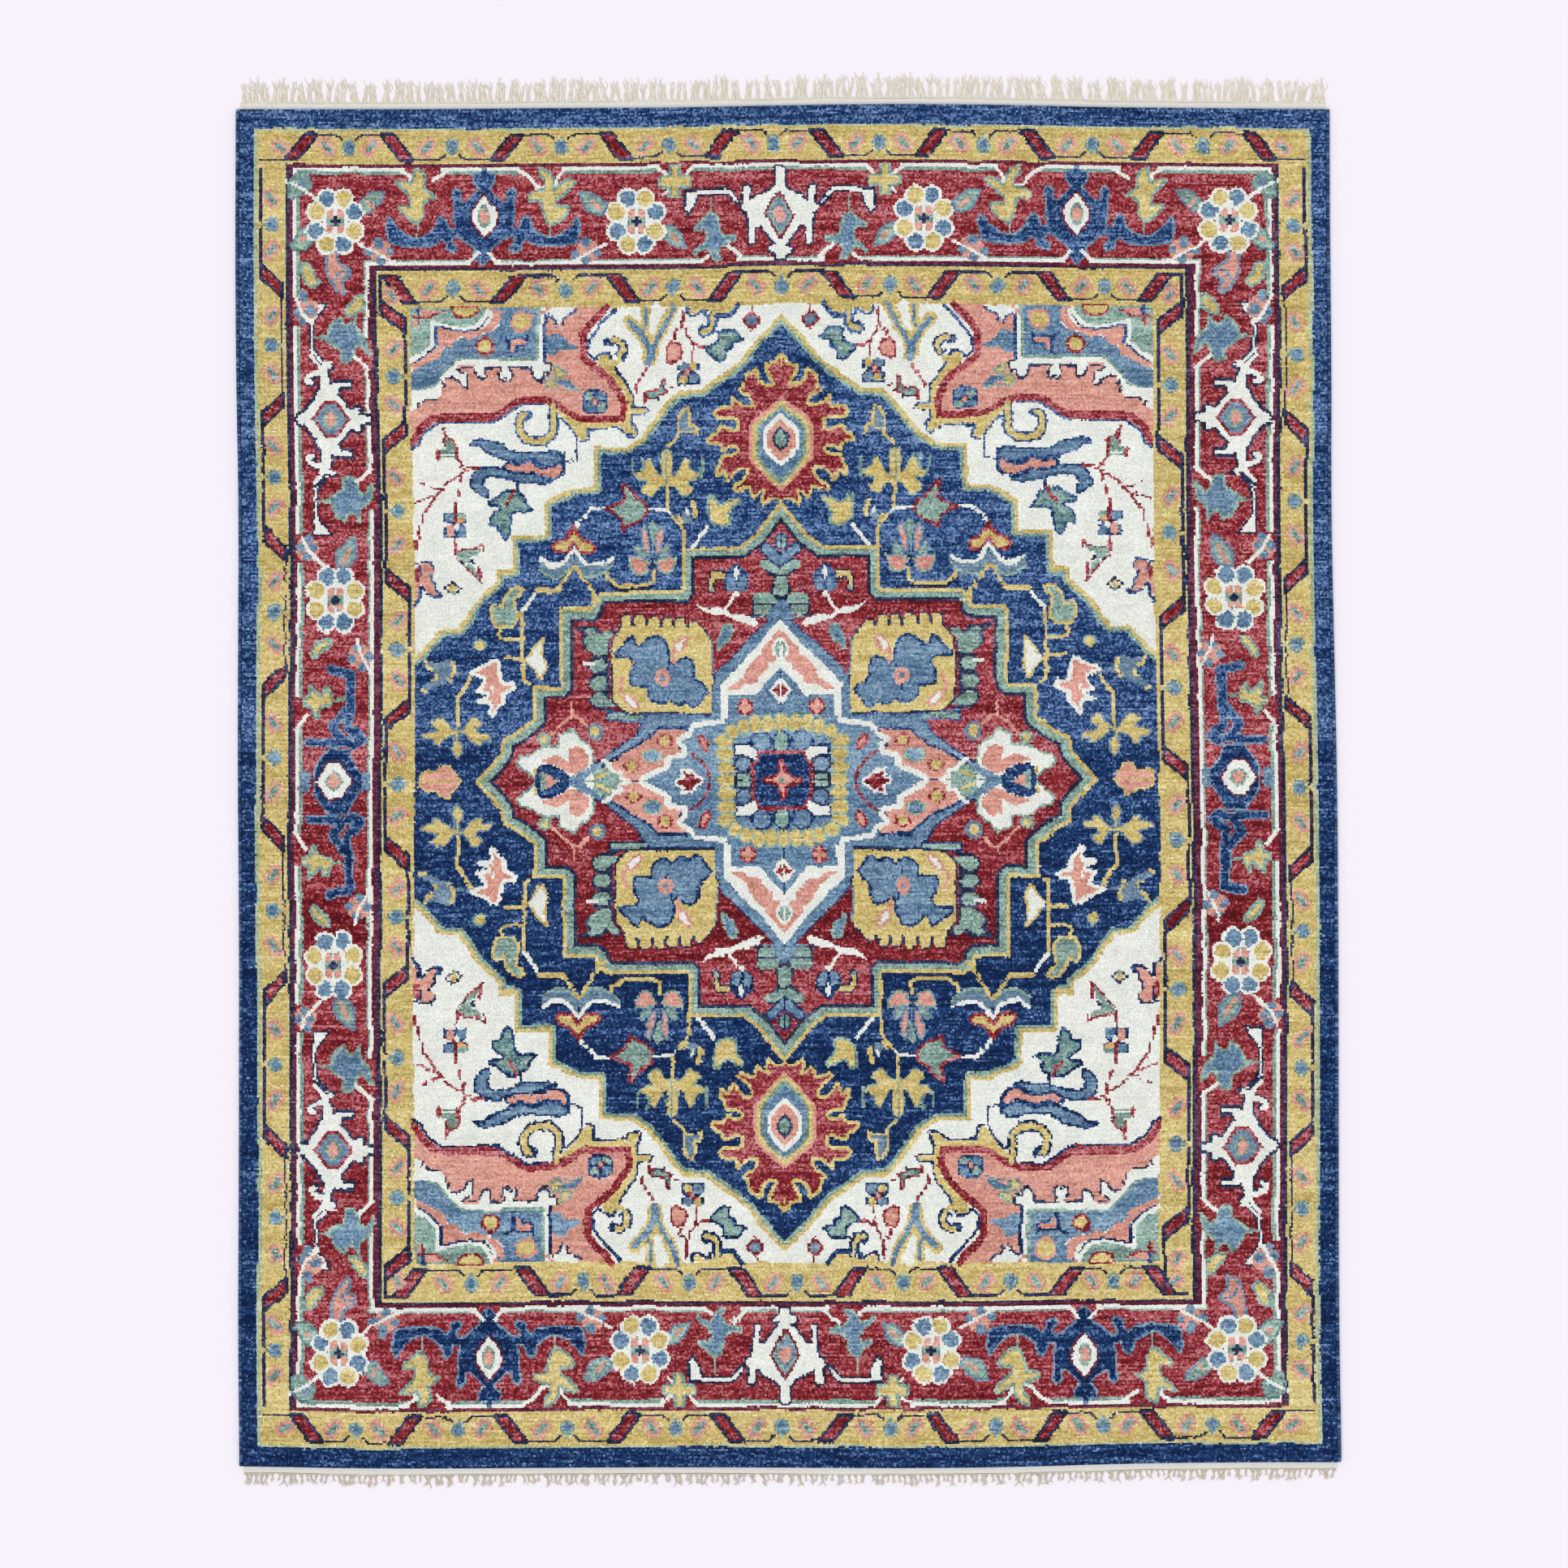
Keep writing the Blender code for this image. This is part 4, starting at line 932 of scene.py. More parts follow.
# Where the slanting red bars of each guard stripe fall: along the stripe, in knots from the middle of the rug,
# to the left or towards the far end. The last number tells which way the first one leans. No two are alike.
GUARD_BARS = {
    "outer_far": ((268, 214, 152, 92, 32.5, -26.6, -85, -143.5, -203.5, -266), -1),
    "outer_near": ((267, 212, 153, 90, 32.4, -27.5, -86, -145, -204, -265), -1),
    "outer_left": ((281, 208, 133, 55.5, -29, -114, -198, -283), 1),
    "outer_right": ((279, 198, 114, 36.6, -48, -123, -199.5, -276), 1),
    "inner_far": ((212, 151, 87.5, 31, -32, -91, -152, -208), 1),
    "inner_near": ((209, 140, 84, 22, -36, -94, -155, -207), 1),
    "inner_left": ((261, 193, 110, 37.5, -40, -111, -193, -265), 1),
    "inner_right": ((259, 183, 92, 8, -76, -157, -245), 1),
}
# The outer edge and depth of the gold in each guard stripe, down the sides and across the ends, and its length.
GUARD_PLACES = {"outer": ((292.6, 16), (365.5, 19)), "inner": ((225, 18), (286.3, 20))}
GUARD_REACH = {"outer": (344, 291), "inner": (284, 223)}


def draw_guard_leaf(chart, ends, size):
    """A toothed pink leaf with a sage heart, drawn from one end of its rib to the other."""
    (u0, v0), (u1, v1) = ends
    ahead = np.array([u1 - u0, v1 - v0]) / math.hypot(u1 - u0, v1 - v0)
    across = np.array([-ahead[1], ahead[0]])
    middle = np.array([(u0 + u1) / 2, (v0 + v1) / 2])
    chart.line("pink", 5.6 * size, [middle - 3.4 * size * ahead, middle + 3.4 * size * ahead])
    for step in (-3.6, 0.0, 3.6):
        tooth = middle + step * size * ahead
        chart.line("pink", 1.8, [tooth - 3.9 * size * across, tooth + 3.9 * size * across])
    chart.line("sage", 3.2 * size, [middle - 2.6 * size * ahead, middle + 2.6 * size * ahead])
    chart.line("moss", 1.0, [middle, middle + 2.0 * size * ahead])


def draw_guard(chart, name):
    ring, side = name.split("_")
    bars, lean = GUARD_BARS[name]
    at_end = side in ("far", "near")
    edge, depth = GUARD_PLACES[ring][1 if at_end else 0]
    reach = GUARD_REACH[ring][1 if at_end else 0]
    outward = 1 if side in ("far", "left") else -1

    def place(points):
        """From (along the stripe, share of its depth from the outer edge) to the chart."""
        along = np.array([point[0] for point in points], float)
        across = outward * (edge - depth * np.array([point[1] for point in points], float))
        return np.stack([along, across] if at_end else [across, along], axis=1)

    leans = [lean * (-1) ** index for index in range(len(bars))]
    stops = [(reach, -leans[0])] + list(zip(bars, leans)) + [(-reach, -leans[-1])]
    for (high, _), (low, low_lean) in zip(stops[:-1], stops[1:]):
        inner_line = low_lean < 0
        line = 0.86 if inner_line else 0.14
        middle, pitch = (high + low) / 2, high - low
        shift = 6.5
        first = high - (shift if high != reach else 0)
        last = low + (shift if low != -reach else 0)
        whole = pitch > 45
        if whole:
            for way in (-1, 1):
                leaf = place([(middle + way * 0.27 * pitch, 0.34 if line < 0.5 else 0.66),
                              (middle + way * 0.19 * pitch, 0.64 if line < 0.5 else 0.36)])
                draw_guard_leaf(chart, leaf, 1.0)
            dip = line + (0.13 if line < 0.5 else -0.13)
            if at_end:
                path = [(first, line), (middle + 7, line), (middle + 4, dip)], [(middle - 4, dip),
                        (middle - 7, line), (last, line)]
            else:
                path = [(first, line), (middle + 2, line)], [(middle - 2, line), (last, line)]
            for part in path:
                chart.line("dark", 1.3 if at_end else 1.6, place(part))
            across, along = place([(middle, 0.48 if inner_line else 0.53)])[0]
            chart.line("sage", 2.2, place([(middle, 0.5), (middle, dip)]))
            chart.disc("pale", across, along, 4.0, 4.4)
            chart.disc("blue", across, along, 3.0, 3.4, "sage", 1.0)
        else:
            chart.line("dark", 1.3 if at_end else 1.6, place([(first, line), (last, line)]))
            if pitch > 14:
                leaf = place([(middle + 3, 0.4), (middle - 3, 0.6)])
                draw_guard_leaf(chart, leaf, 0.9)
    for bar, way in zip(bars, leans):
        outer, inner = bar + way * 5.6, bar - way * 5.6
        chart.area("red", place([(outer - 4, 0.12), (outer + 4, 0.12), (inner + 4, 0.88), (inner - 4,
            0.88)]), "dark", 1.7)


def draw_guards(chart):
    for name in GUARD_BARS:
        draw_guard(chart, name)


# ---- From the quarter chart to the whole rug ----

# Half width and half length inside each ring of pile, in knots, from the outer band inwards.
RINGS = {
    "outer_band": (294.5, 367), "outer_guard": (274.5, 344.5), "main_border": (225.5, 287.5),
    "inner_guard": (207, 266),
}
RING_SLOTS = {"outer_band": "navy_wool", "outer_guard": "gold_wool", "main_border": "red_wool",
        "inner_guard": "gold_wool"}


def smooth(values, reach, axis):
    """A running mean, scaled back to a spread of one."""
    pad = [(0, 0)] * values.ndim
    pad[axis] = (reach, reach)
    total = np.cumsum(np.pad(values, pad, mode="wrap"), axis=axis)
    count = values.shape[axis]
    low, high = np.take(total, range(0, count), axis), np.take(total, range(2 * reach, count + 2 * reach),
            axis)
    made = high - low
    return made / made.std()


def whole(quarter):
    half = np.concatenate([quarter[:0:-1], quarter])
    return np.concatenate([half[:, :0:-1], half], axis=1)


def quarter_zones():
    """The piece of pile that each knot of a quarter belongs to, and whether it lies in an end strip."""
    across, along = np.meshgrid(np.arange(QUARTER_COLUMNS, dtype=float), np.arange(QUARTER_ROWS,
            dtype=float))
    zones = np.full(across.shape, len(RINGS))
    at_end = np.zeros(across.shape, bool)
    for index, (width, length) in reversed(list(enumerate(RINGS.values()))):
        zones[(across > width) | (along > length)] = index
    for index, (width, length) in enumerate(RINGS.values()):
        at_end |= (zones == index) & (along > length)
    for index, edge in enumerate((MEDALLION_EDGE, INNER_EDGE, CENTRE_EDGE)):
        outline = read(edge)
        outline = np.vstack([outline, [[-1, outline[-1][1]], [-1, -1], [outline[0][0] + 0.5, -1]]])
        zones[(zones >= len(RINGS)) & within(outline, across, along)] = len(RINGS) + 1 + index
    return zones, at_end


def wandered(charts):
    """The same charts as they come off the loom, where lines drift by a knot or so and no repeat is exact."""
    rows, columns = np.mgrid[0:ROWS, 0:COLUMNS]
    moved = []
    for grid in (rows, columns):
        drift = np.zeros(grid.shape)
        for _ in range(5):
            waves = rng.uniform(0.6, 2.6, 2)
            wave = waves[0] * rows / ROWS + waves[1] * columns / COLUMNS
            drift += 0.24 * np.sin(2 * np.pi * wave + rng.uniform(0, 6.3))
        drift += 0.20 * smooth(smooth(rng.normal(size=grid.shape), 5, 0), 7, 1)
        moved.append(drift)
    rows = np.clip(np.rint(rows + moved[0]), 0, ROWS - 1).astype(int)
    columns = np.clip(np.rint(columns + moved[1]), 0, COLUMNS - 1).astype(int)
    return [chart[rows, columns] for chart in charts]


def weave_charts():
    """Yarn and piece for every knot, with rows from the near end and columns from the left edge."""
    quarter = Chart(np.zeros((QUARTER_ROWS, QUARTER_COLUMNS), np.int8))
    draw_rug(quarter)
    zones, at_end = quarter_zones()
    full = Chart(whole(quarter.knots), -HALF_COLUMNS, -HALF_ROWS)
    draw_guards(full)
    knots, zones, at_end = wandered([full.knots[:, ::-1], whole(zones), whole(at_end)])
    rows, columns = np.mgrid[0:ROWS, 0:COLUMNS]
    far, left = rows > HALF_ROWS, columns < HALF_COLUMNS
    pieces = {}
    for index, ring in enumerate(RINGS):
        ends, sides = (zones == index) & at_end, (zones == index) & ~at_end
        for name, mask in (("far", ends & far), ("near", ends & ~far), ("left", sides & left), ("right",
                sides & ~left)):
            pieces[f"pile_{ring}_{name}"] = (mask, RING_SLOTS[ring])
    corner = zones == len(RINGS)
    for end, on_end in (("far", far), ("near", ~far)):
        for side, on_side in (("left", left), ("right", ~left)):
            pieces[f"pile_corner_{end}_{side}"] = (corner & on_end & on_side, "ivory_wool")
    for step, (name, wool) in enumerate((("medallion", "navy_wool"), ("inner_medallion", "red_wool"),
            ("centre_medallion", "blue_wool"))):
        pieces[f"pile_{name}"] = (zones == len(RINGS) + 1 + step, wool)
    return knots, pieces


def tint_and_light_knots(knots, spread_of_dye_and_light=1.0):
    """Linear colour for every knot: dyeing leaves streaks along the rows, and each knot has its own painted
    light and shade.
    """
    shades = np.array([[linear(code) for code in YARN_TONES_FOR_DYE_AND_LIGHT[yarn]] for yarn in YARNS])
    spread = spread_of_dye_and_light * np.array([DYE_AND_LIGHT_SPREAD.get(yarn, 0.75) for yarn in YARNS])[knots]
    # A new lot of yarn starts a band across the rug, a little darker or lighter than the last.
    lots = 0.12 * smooth(rng.normal(size=(len(YARNS), ROWS)), 2,
            1) + 0.15 * smooth(rng.normal(size=(len(YARNS), ROWS)), 11, 1)
    # Navy and red also run darker over the near half of the rug.
    lots[YARNS.index("navy")] += np.interp(np.arange(ROWS) / ROWS, (0, 0.46, 0.60, 1), (-0.42, -0.36, 0,
            0.06))
    lots[YARNS.index("red")] += np.interp(np.arange(ROWS) / ROWS, (0, 0.40, 0.60, 1), (-0.16, -0.12, 0, 0))
    lots = lots[knots, np.arange(ROWS)[:, None]]
    runs = smooth(rng.normal(size=knots.shape), 14, 1)
    short = smooth(rng.normal(size=knots.shape), 3, 1)
    # The runs and short streaks come from dyeing; the last term is painted light, a painted shade or highlight
    # of its own on each knot.
    light = spread * (lots + 0.17 * runs + 0.22 * short + 0.44 * rng.normal(size=knots.shape))
    light = np.clip(light, -1.2, 1.5)[..., None]
    dark, middle, pale = (shades[:, part][knots] for part in range(3))
    return np.where(light < 0, middle * np.exp(-light * np.log(dark / middle)),
            middle + light * (pale - middle))


# ---- Where the loom lets the rug run wide or narrow ----

SHARES = np.linspace(-1, 1, 11)  # from the near end to the far end, or from the left edge to the right
RIGHT_EDGE = np.array([10, 5, 5, 5.5, 5.5, 4, -2, -8, -6, -9, -9]) / 1000
LEFT_EDGE = np.array([7, 2.5, 4, 3.5, 3, -1, -1, 0, -7, -9.5, -9]) / 1000
FAR_EDGE = np.array([-4.5, -4.5, -4, -1.5, -1, 4.5, 8, 6, 0, -2, -4.5]) / 1000
NEAR_EDGE = np.array([1, -4.5, -4.5, -2.5, -1.5, -2.5, -4, -2, 6, 9.5, 9.5]) / 1000
CENTRE_SHIFT = (-0.009, 0.010)  # the pattern's middle from the middle of the rug


def eased(share, values):
    """Values read between their shares, with the bends rounded off."""
    return sum(np.interp(share + step, SHARES, values) for step in (-0.08, -0.03, 0.03, 0.08)) / 4


def drifted(points):
    """Points of the drawn rug moved to where they lie in the woven one."""
    across = np.clip(points[:, 0] / (COLUMNS * KNOT / 2), -1.01, 1.01)
    along = np.clip(points[:, 1] / (ROWS * KNOT / 2), -1.05, 1.05)
    right = (1 + across) / 2
    moved = points.copy()
    moved[:, 0] += right * eased(along, RIGHT_EDGE) + (1 - right) * eased(along, LEFT_EDGE)
    far = (1 + along) / 2
    moved[:, 1] += far * eased(across, FAR_EDGE) + (1 - far) * eased(across, NEAR_EDGE)
    moved[:, 0] += CENTRE_SHIFT[0] * np.clip(1 - np.abs(across) ** 1.3, 0, 1)
    moved[:, 1] += CENTRE_SHIFT[1] * np.clip(1 - np.abs(along) ** 1.3, 0, 1)
    return moved


# ---- Materials ----


def add(tree, kind, inputs=None, **settings):
    """Adds one node. Each input is either a constant or the socket that feeds it."""
    made = tree.nodes.new(kind)
    for name, value in settings.items():
        setattr(made, name, value)
    for name, value in (inputs or {}).items():
        if isinstance(value, bpy.types.NodeSocket):
            tree.links.new(value, made.inputs[name])
        else:
            made.inputs[name].default_value = value
    return made


def new_material(name):
    material = bpy.data.materials.new(name)
    material.use_nodes = True
    material.node_tree.nodes.clear()
    return material, material.node_tree


def close_material(tree, colour, height, depth, roughness, sheen, tint=(1, 1, 1)):
    """Ends a yarn's shader: colour, a bump of the given depth, and the glow of fibre ends seen at a slant."""
    bump = add(tree, "ShaderNodeBump", {"Strength": 1.0, "Distance": depth, "Height": height})
    shader = add(tree, "ShaderNodeBsdfPrincipled", {
        "Base Color": colour, "Roughness": roughness, "Sheen Weight": sheen, "Sheen Roughness": 0.45,
        "Sheen Tint": (*tint, 1), "Specular IOR Level": 0.12, "Normal": bump.outputs["Normal"]})
    add(tree, "ShaderNodeOutputMaterial", {"Surface": shader.outputs["BSDF"]})


def knotted_wool():
    """Hand-spun wool in cut pile. Tufts carry painted shade at their edges and painted highlight at their
    middles, with a random tone each, and the pile shows painted light and shade of its lay; each knot has its
    own dyed colour with painted light.
    """
    material, tree = new_material("hand_knotted_wool")
    place = add(tree, "ShaderNodeTexCoord").outputs["Object"]
    dyed_and_lit = add(tree, "ShaderNodeAttribute", attribute_name="dyed_and_lit", attribute_type="GEOMETRY").outputs["Color"]
    tufts = add(tree, "ShaderNodeTexVoronoi", {"Vector": place, "Scale": 1 / 0.0019, "Randomness": 0.9},
                feature="SMOOTH_F1")
    tone = add(tree, "ShaderNodeMapRange", {"Value": add(tree, "ShaderNodeSeparateXYZ", {
        "Vector": tufts.outputs["Color"]}).outputs["X"], "To Min": 0.84, "To Max": 1.16})
    fibres = add(tree, "ShaderNodeTexNoise", {"Vector": place, "Scale": 1 / 0.0007, "Detail": 3.0,
            "Roughness": 0.7})
    nap = add(tree, "ShaderNodeTexNoise", {"Vector": place, "Scale": 1 / 0.045, "Detail": 4.0,
            "Roughness": 0.6})
    # Painted shade at the edges of each tuft and painted highlight at its middle.
    shade = add(tree, "ShaderNodeMapRange", {"Value": tufts.outputs["Distance"], "From Min": 0.1,
            "From Max": 0.75,
                                             "To Min": 1.30, "To Max": 0.74})
    # Painted light and shade of the pile's lay, over patches a few centimetres across.
    painted_nap_light = add(tree, "ShaderNodeMapRange", {"Value": nap.outputs["Fac"], "From Min": 0.3,
            "From Max": 0.7,
                                               "To Min": 0.96, "To Max": 1.10})
    both = add(tree, "ShaderNodeMath", {0: shade.outputs["Result"], 1: painted_nap_light.outputs["Result"]},
            operation="MULTIPLY")
    both = add(tree, "ShaderNodeMath", {0: both.outputs["Value"], 1: tone.outputs["Result"]},
            operation="MULTIPLY")
    colour = add(tree, "ShaderNodeVectorMath", {0: dyed_and_lit, "Scale": both.outputs["Value"]}, operation="SCALE")
    deep = add(tree, "ShaderNodeMath", {0: tufts.outputs["Distance"], 1: -1.0}, operation="MULTIPLY")
    height = add(tree, "ShaderNodeMath", {0: fibres.outputs["Fac"], 1: 0.35, 2: deep.outputs["Value"]},
                 operation="MULTIPLY_ADD")
    close_material(tree, colour.outputs["Vector"], height.outputs["Value"], 0.0012, 0.92, 0.06)
    return material


def knot_backs():
    """The back of a knotted rug: each knot is a bead of wool over two warps, with cotton weft between rows."""
    material, tree = new_material("knot_backs_and_cotton_weft")
    place = add(tree, "ShaderNodeTexCoord").outputs["Object"]
    dyed_and_lit = add(tree, "ShaderNodeAttribute", attribute_name="dyed_and_lit", attribute_type="GEOMETRY").outputs["Color"]
    parts = add(tree, "ShaderNodeSeparateXYZ", {"Vector": place})
    waves = []
    for axis, pitch in (("X", KNOT / 2), ("Y", KNOT)):
        turned = add(tree, "ShaderNodeMath", {0: parts.outputs[axis], 1: math.pi / pitch},
                operation="MULTIPLY")
        wave = add(tree, "ShaderNodeMath", {0: turned.outputs["Value"]}, operation="COSINE")
        waves.append(add(tree, "ShaderNodeMath", {0: wave.outputs["Value"]},
                operation="ABSOLUTE").outputs["Value"])
    weft = add(tree, "ShaderNodeMapRange", {"Value": waves[1], "From Min": 0.16, "From Max": 0.34,
            "To Min": 0.75, "To Max": 0.0})
    mixed = tree.nodes.new("ShaderNodeMix")
    mixed.data_type = "RGBA"
    tree.links.new(weft.outputs["Result"], mixed.inputs[0])
    tree.links.new(dyed_and_lit, mixed.inputs[6])
    mixed.inputs[7].default_value = (*linear(COTTON), 1)
    height = add(tree, "ShaderNodeMath", {0: waves[0], 1: waves[1]}, operation="MULTIPLY")
    close_material(tree, mixed.outputs[2], height.outputs["Value"], 0.0006, 0.9, 0.0)
    return material


def spun_cotton(name, code, lay):
    """Undyed cotton yarn. Fine slanting plies and a little soiling keep it from looking like plastic cord."""
    material, tree = new_material(name)
    place = add(tree, "ShaderNodeTexCoord").outputs["Object"]
    turned = add(tree, "ShaderNodeMapping", {"Vector": place, "Rotation": (0, 0, 0.6)})
    plies = add(tree, "ShaderNodeTexWave", {"Vector": turned.outputs["Vector"], "Scale": 1 / lay,
            "Distortion": 1.2,
                                            "Detail": 2.0}, wave_type="BANDS", bands_direction="Y")
    soil = add(tree, "ShaderNodeTexNoise", {"Vector": place, "Scale": 1 / 0.02, "Detail": 5.0,
            "Roughness": 0.65})
    ramp = add(tree, "ShaderNodeValToRGB", {"Fac": soil.outputs["Fac"]})
    ramp.color_ramp.elements[0].position, ramp.color_ramp.elements[1].position = 0.3, 0.72
    clean = linear(code)
    ramp.color_ramp.elements[0].color = (clean[0] * 0.97, clean[1] * 0.94, clean[2] * 0.88, 1)
    ramp.color_ramp.elements[1].color = (*clean, 1)
    close_material(tree, ramp.outputs["Color"], plies.outputs["Fac"], 0.0002, 0.88, 0.10)
    return material


def overcast_wool():
    """Navy wool wound round the edge cords. Its colour carries painted glints, and a fine noise lightens and
    darkens it at the scale of the fibres.
    """
    material, tree = new_material("overcast_navy_wool")
    place = add(tree, "ShaderNodeTexCoord").outputs["Object"]
    dyed_and_lit = add(tree, "ShaderNodeAttribute", attribute_name="dyed_and_lit", attribute_type="GEOMETRY").outputs["Color"]
    fibres = add(tree, "ShaderNodeTexNoise", {"Vector": place, "Scale": 1 / 0.0009, "Detail": 3.0,
            "Roughness": 0.7})
    shade = add(tree, "ShaderNodeMapRange", {"Value": fibres.outputs["Fac"], "From Min": 0.3,
            "From Max": 0.7,
                                             "To Min": 0.75, "To Max": 1.25})
    colour = add(tree, "ShaderNodeVectorMath", {0: dyed_and_lit, "Scale": shade.outputs["Result"]},
            operation="SCALE")
    close_material(tree, colour.outputs["Vector"], fibres.outputs["Fac"], 0.0006, 0.9, 0.08)
    return material


# ---- Pieces ----


def new_piece(name, points, faces, material, colours=None):
    """A finished piece: one closed mesh in the row frame, riding with the rug."""
    mesh = bpy.data.meshes.new(name)
    mesh.from_pydata(drifted(np.asarray(points, float)), [], faces)
    if colours is not None:
        dyed_and_lit = mesh.attributes.new("dyed_and_lit", "FLOAT_COLOR", "FACE")
        rgba = np.ones((len(mesh.polygons), 4), np.float32)
        rgba[:, :3] = colours
        dyed_and_lit.data.foreach_set("color", rgba.ravel())
    mesh.materials.append(material)
    made = bpy.data.objects.new(name, mesh)
    bpy.context.scene.collection.objects.link(made)
    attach(made, "root")
    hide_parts(name.removesuffix("_knots"))
    return made


def bake_map(made, tops):
    """A flat map from above: the show side fills most of it, and the hidden sides share a thin strip."""
    mesh = made.data
    layer = mesh.uv_layers.new(name="OFBake")
    corners = np.empty(len(mesh.loops), np.int32)
    mesh.loops.foreach_get("vertex_index", corners)
    points = np.empty(len(mesh.vertices) * 3)
    mesh.vertices.foreach_get("co", points)
    points = points.reshape(-1, 3)[:, :2]
    low, high = points.min(axis=0), points.max(axis=0)
    share = ((points - low) / (high - low))[corners]
    starts = np.empty(len(mesh.polygons), np.int32)
    mesh.polygons.foreach_get("loop_start", starts)
    show = np.zeros(len(corners), bool)
    first, last = starts[tops[0]], (starts[tops[1]] if tops[1] < len(starts) else len(corners))
    show[first:last] = True
    share = 0.002 + 0.996 * share
    share[:, 1] = np.where(show, 0.05 + 0.95 * share[:, 1], 0.04 * share[:, 1])
    layer.data.foreach_set("uv", share.astype(np.float32).ravel())


def runs_of(labels):
    """Each stretch of equal labels in a row, as (row, first, past the last). A label under 0 is no cell."""
    found = []
    for row, line in enumerate(labels):
        breaks = np.flatnonzero(np.diff(line)) + 1
        edges = [0, *breaks.tolist(), len(line)]
        found += [(row, a, b) for a, b in zip(edges[:-1], edges[1:]) if line[a] >= 0]
    return found


def long_faces(labels, rim):
    """One flat face for each stretch of a row, with every corner that a neighbour or wall puts on its sides."""
    lines = [set() for _ in range(labels.shape[0] + 1)]
    runs = runs_of(labels)
    for row, first, past in runs:
        lines[row] |= {first, past}
        lines[row + 1] |= {first, past}
    for row, column in rim:
        lines[row].add(column)
    lines = [np.array(sorted(line)) for line in lines]
    faces = []
    for row, first, past in runs:
        low, high = lines[row], lines[row + 1]
        low = low[(low >= first) & (low <= past)]
        high = high[(high >= first) & (high <= past)][::-1]
        faces.append([(row, int(c)) for c in low] + [(row + 1, int(c)) for c in high])
    return faces, runs


def rim_of(mask):
    """The cell edges where a mask ends, as ((row, column), (row, column), cell), the mask on the left."""
    padded = np.pad(mask, 1)
    edges = []
    sides = (((-1, 0), (0, 0), (0, 1)), ((0, 1), (0, 1), (1, 1)), ((1, 0), (1, 1), (1, 0)), ((0, -1), (1,
            0), (0, 0)))
    for (down, right), start, end in sides:
        beyond = padded[1 + down:1 + down + mask.shape[0], 1 + right:1 + right + mask.shape[1]]
        for row, column in np.argwhere(mask & ~beyond).tolist():
            edges.append(((row + start[0], column + start[1]), (row + end[0], column + end[1]), (row,
                    column)))
    return edges


def corner_place(row, column):
    return (column - COLUMNS / 2) * KNOT, (row - ROWS / 2) * KNOT


def make_pile(name, mask, colours, heights, sway, material):
    """Pile over the knots of a mask: a face for each knot on top, walls round it, and a plain foot."""
    rows, columns = np.nonzero(mask)
    stride = COLUMNS + 1
    around = np.stack([rows * stride + columns, rows * stride + columns + 1,
                       (rows + 1) * stride + columns + 1, (rows + 1) * stride + columns], axis=1)
    used, index = np.unique(around, return_inverse=True)
    tops = index.reshape(-1, 4)
    x, y = corner_place(used // stride, used % stride)
    x, y = x + sway[0].ravel()[used], y + sway[1].ravel()[used]
    points = [*zip(x, y, heights.ravel()[used])]
    faces = tops.tolist()
    of_top = dict(zip(used.tolist(), range(len(used))))
    rim = rim_of(mask)
    feet = {}

    def foot(row, column):
        if (row, column) not in feet:
            feet[row, column] = len(points)
            points.append((*corner_place(row, column), PILE_FOOT))
        return feet[row, column]

    shades = [colours[rows, columns]]
    walls = []
    for start, end, cell in rim:
        faces.append([of_top[end[0] * stride + end[1]], of_top[start[0] * stride + start[1]], foot(*start),
                foot(*end)])
        # Each wall takes its knot's colour at 0.8: painted shade on the sides of the pile.
        walls.append(colours[cell] * 0.8)
    shades.append(np.array(walls))
    flat, _ = long_faces(np.where(mask, 0, -1), [corner for edge in rim for corner in edge[:2]])
    faces += [[foot(*corner) for corner in reversed(face)] for face in flat]
    shades.append(np.tile(linear(COTTON), (len(flat), 1)))
    made = new_piece(name, points, faces, material, np.concatenate(shades))
    bake_map(made, (0, len(tops)))
    return made


def make_foundation(knots, colours, material):
    """The cotton cloth that holds the knots. Its back carries the pattern, two rows to a strip of faces."""
    labels = knots[::2].astype(int)
    everywhere = np.ones(labels.shape, bool)
    rim = rim_of(everywhere)
    rims = [corner for edge in rim for corner in edge[:2]]
    points, places, faces, shades = [], {}, [], []

    def corner(row, column, high):
        key = (row, column, high)
        if key not in places:
            places[key] = len(points)
            points.append((*corner_place(min(2 * row, ROWS), column), FOUNDATION if high else 0.0))
        return places[key]

    back, runs = long_faces(labels, rims)
    for face, (row, first, past) in zip(back, runs):
        faces.append([corner(*c, False) for c in reversed(face)])
        shades.append(colours[2 * row, first:past].mean(axis=0))
    backs = len(faces)
    for start, end, _ in rim:
        faces.append([corner(*end, True), corner(*start, True), corner(*start, False), corner(*end, False)])
        shades.append(linear(COTTON))
    front, _ = long_faces(np.zeros(labels.shape, int), rims)
    faces += [[corner(*c, True) for c in face] for face in front]
    shades += [linear(COTTON)] * len(front)
    made = new_piece("foundation", points, faces, material, np.array(shades))
    bake_map(made, (0, backs))
    return made


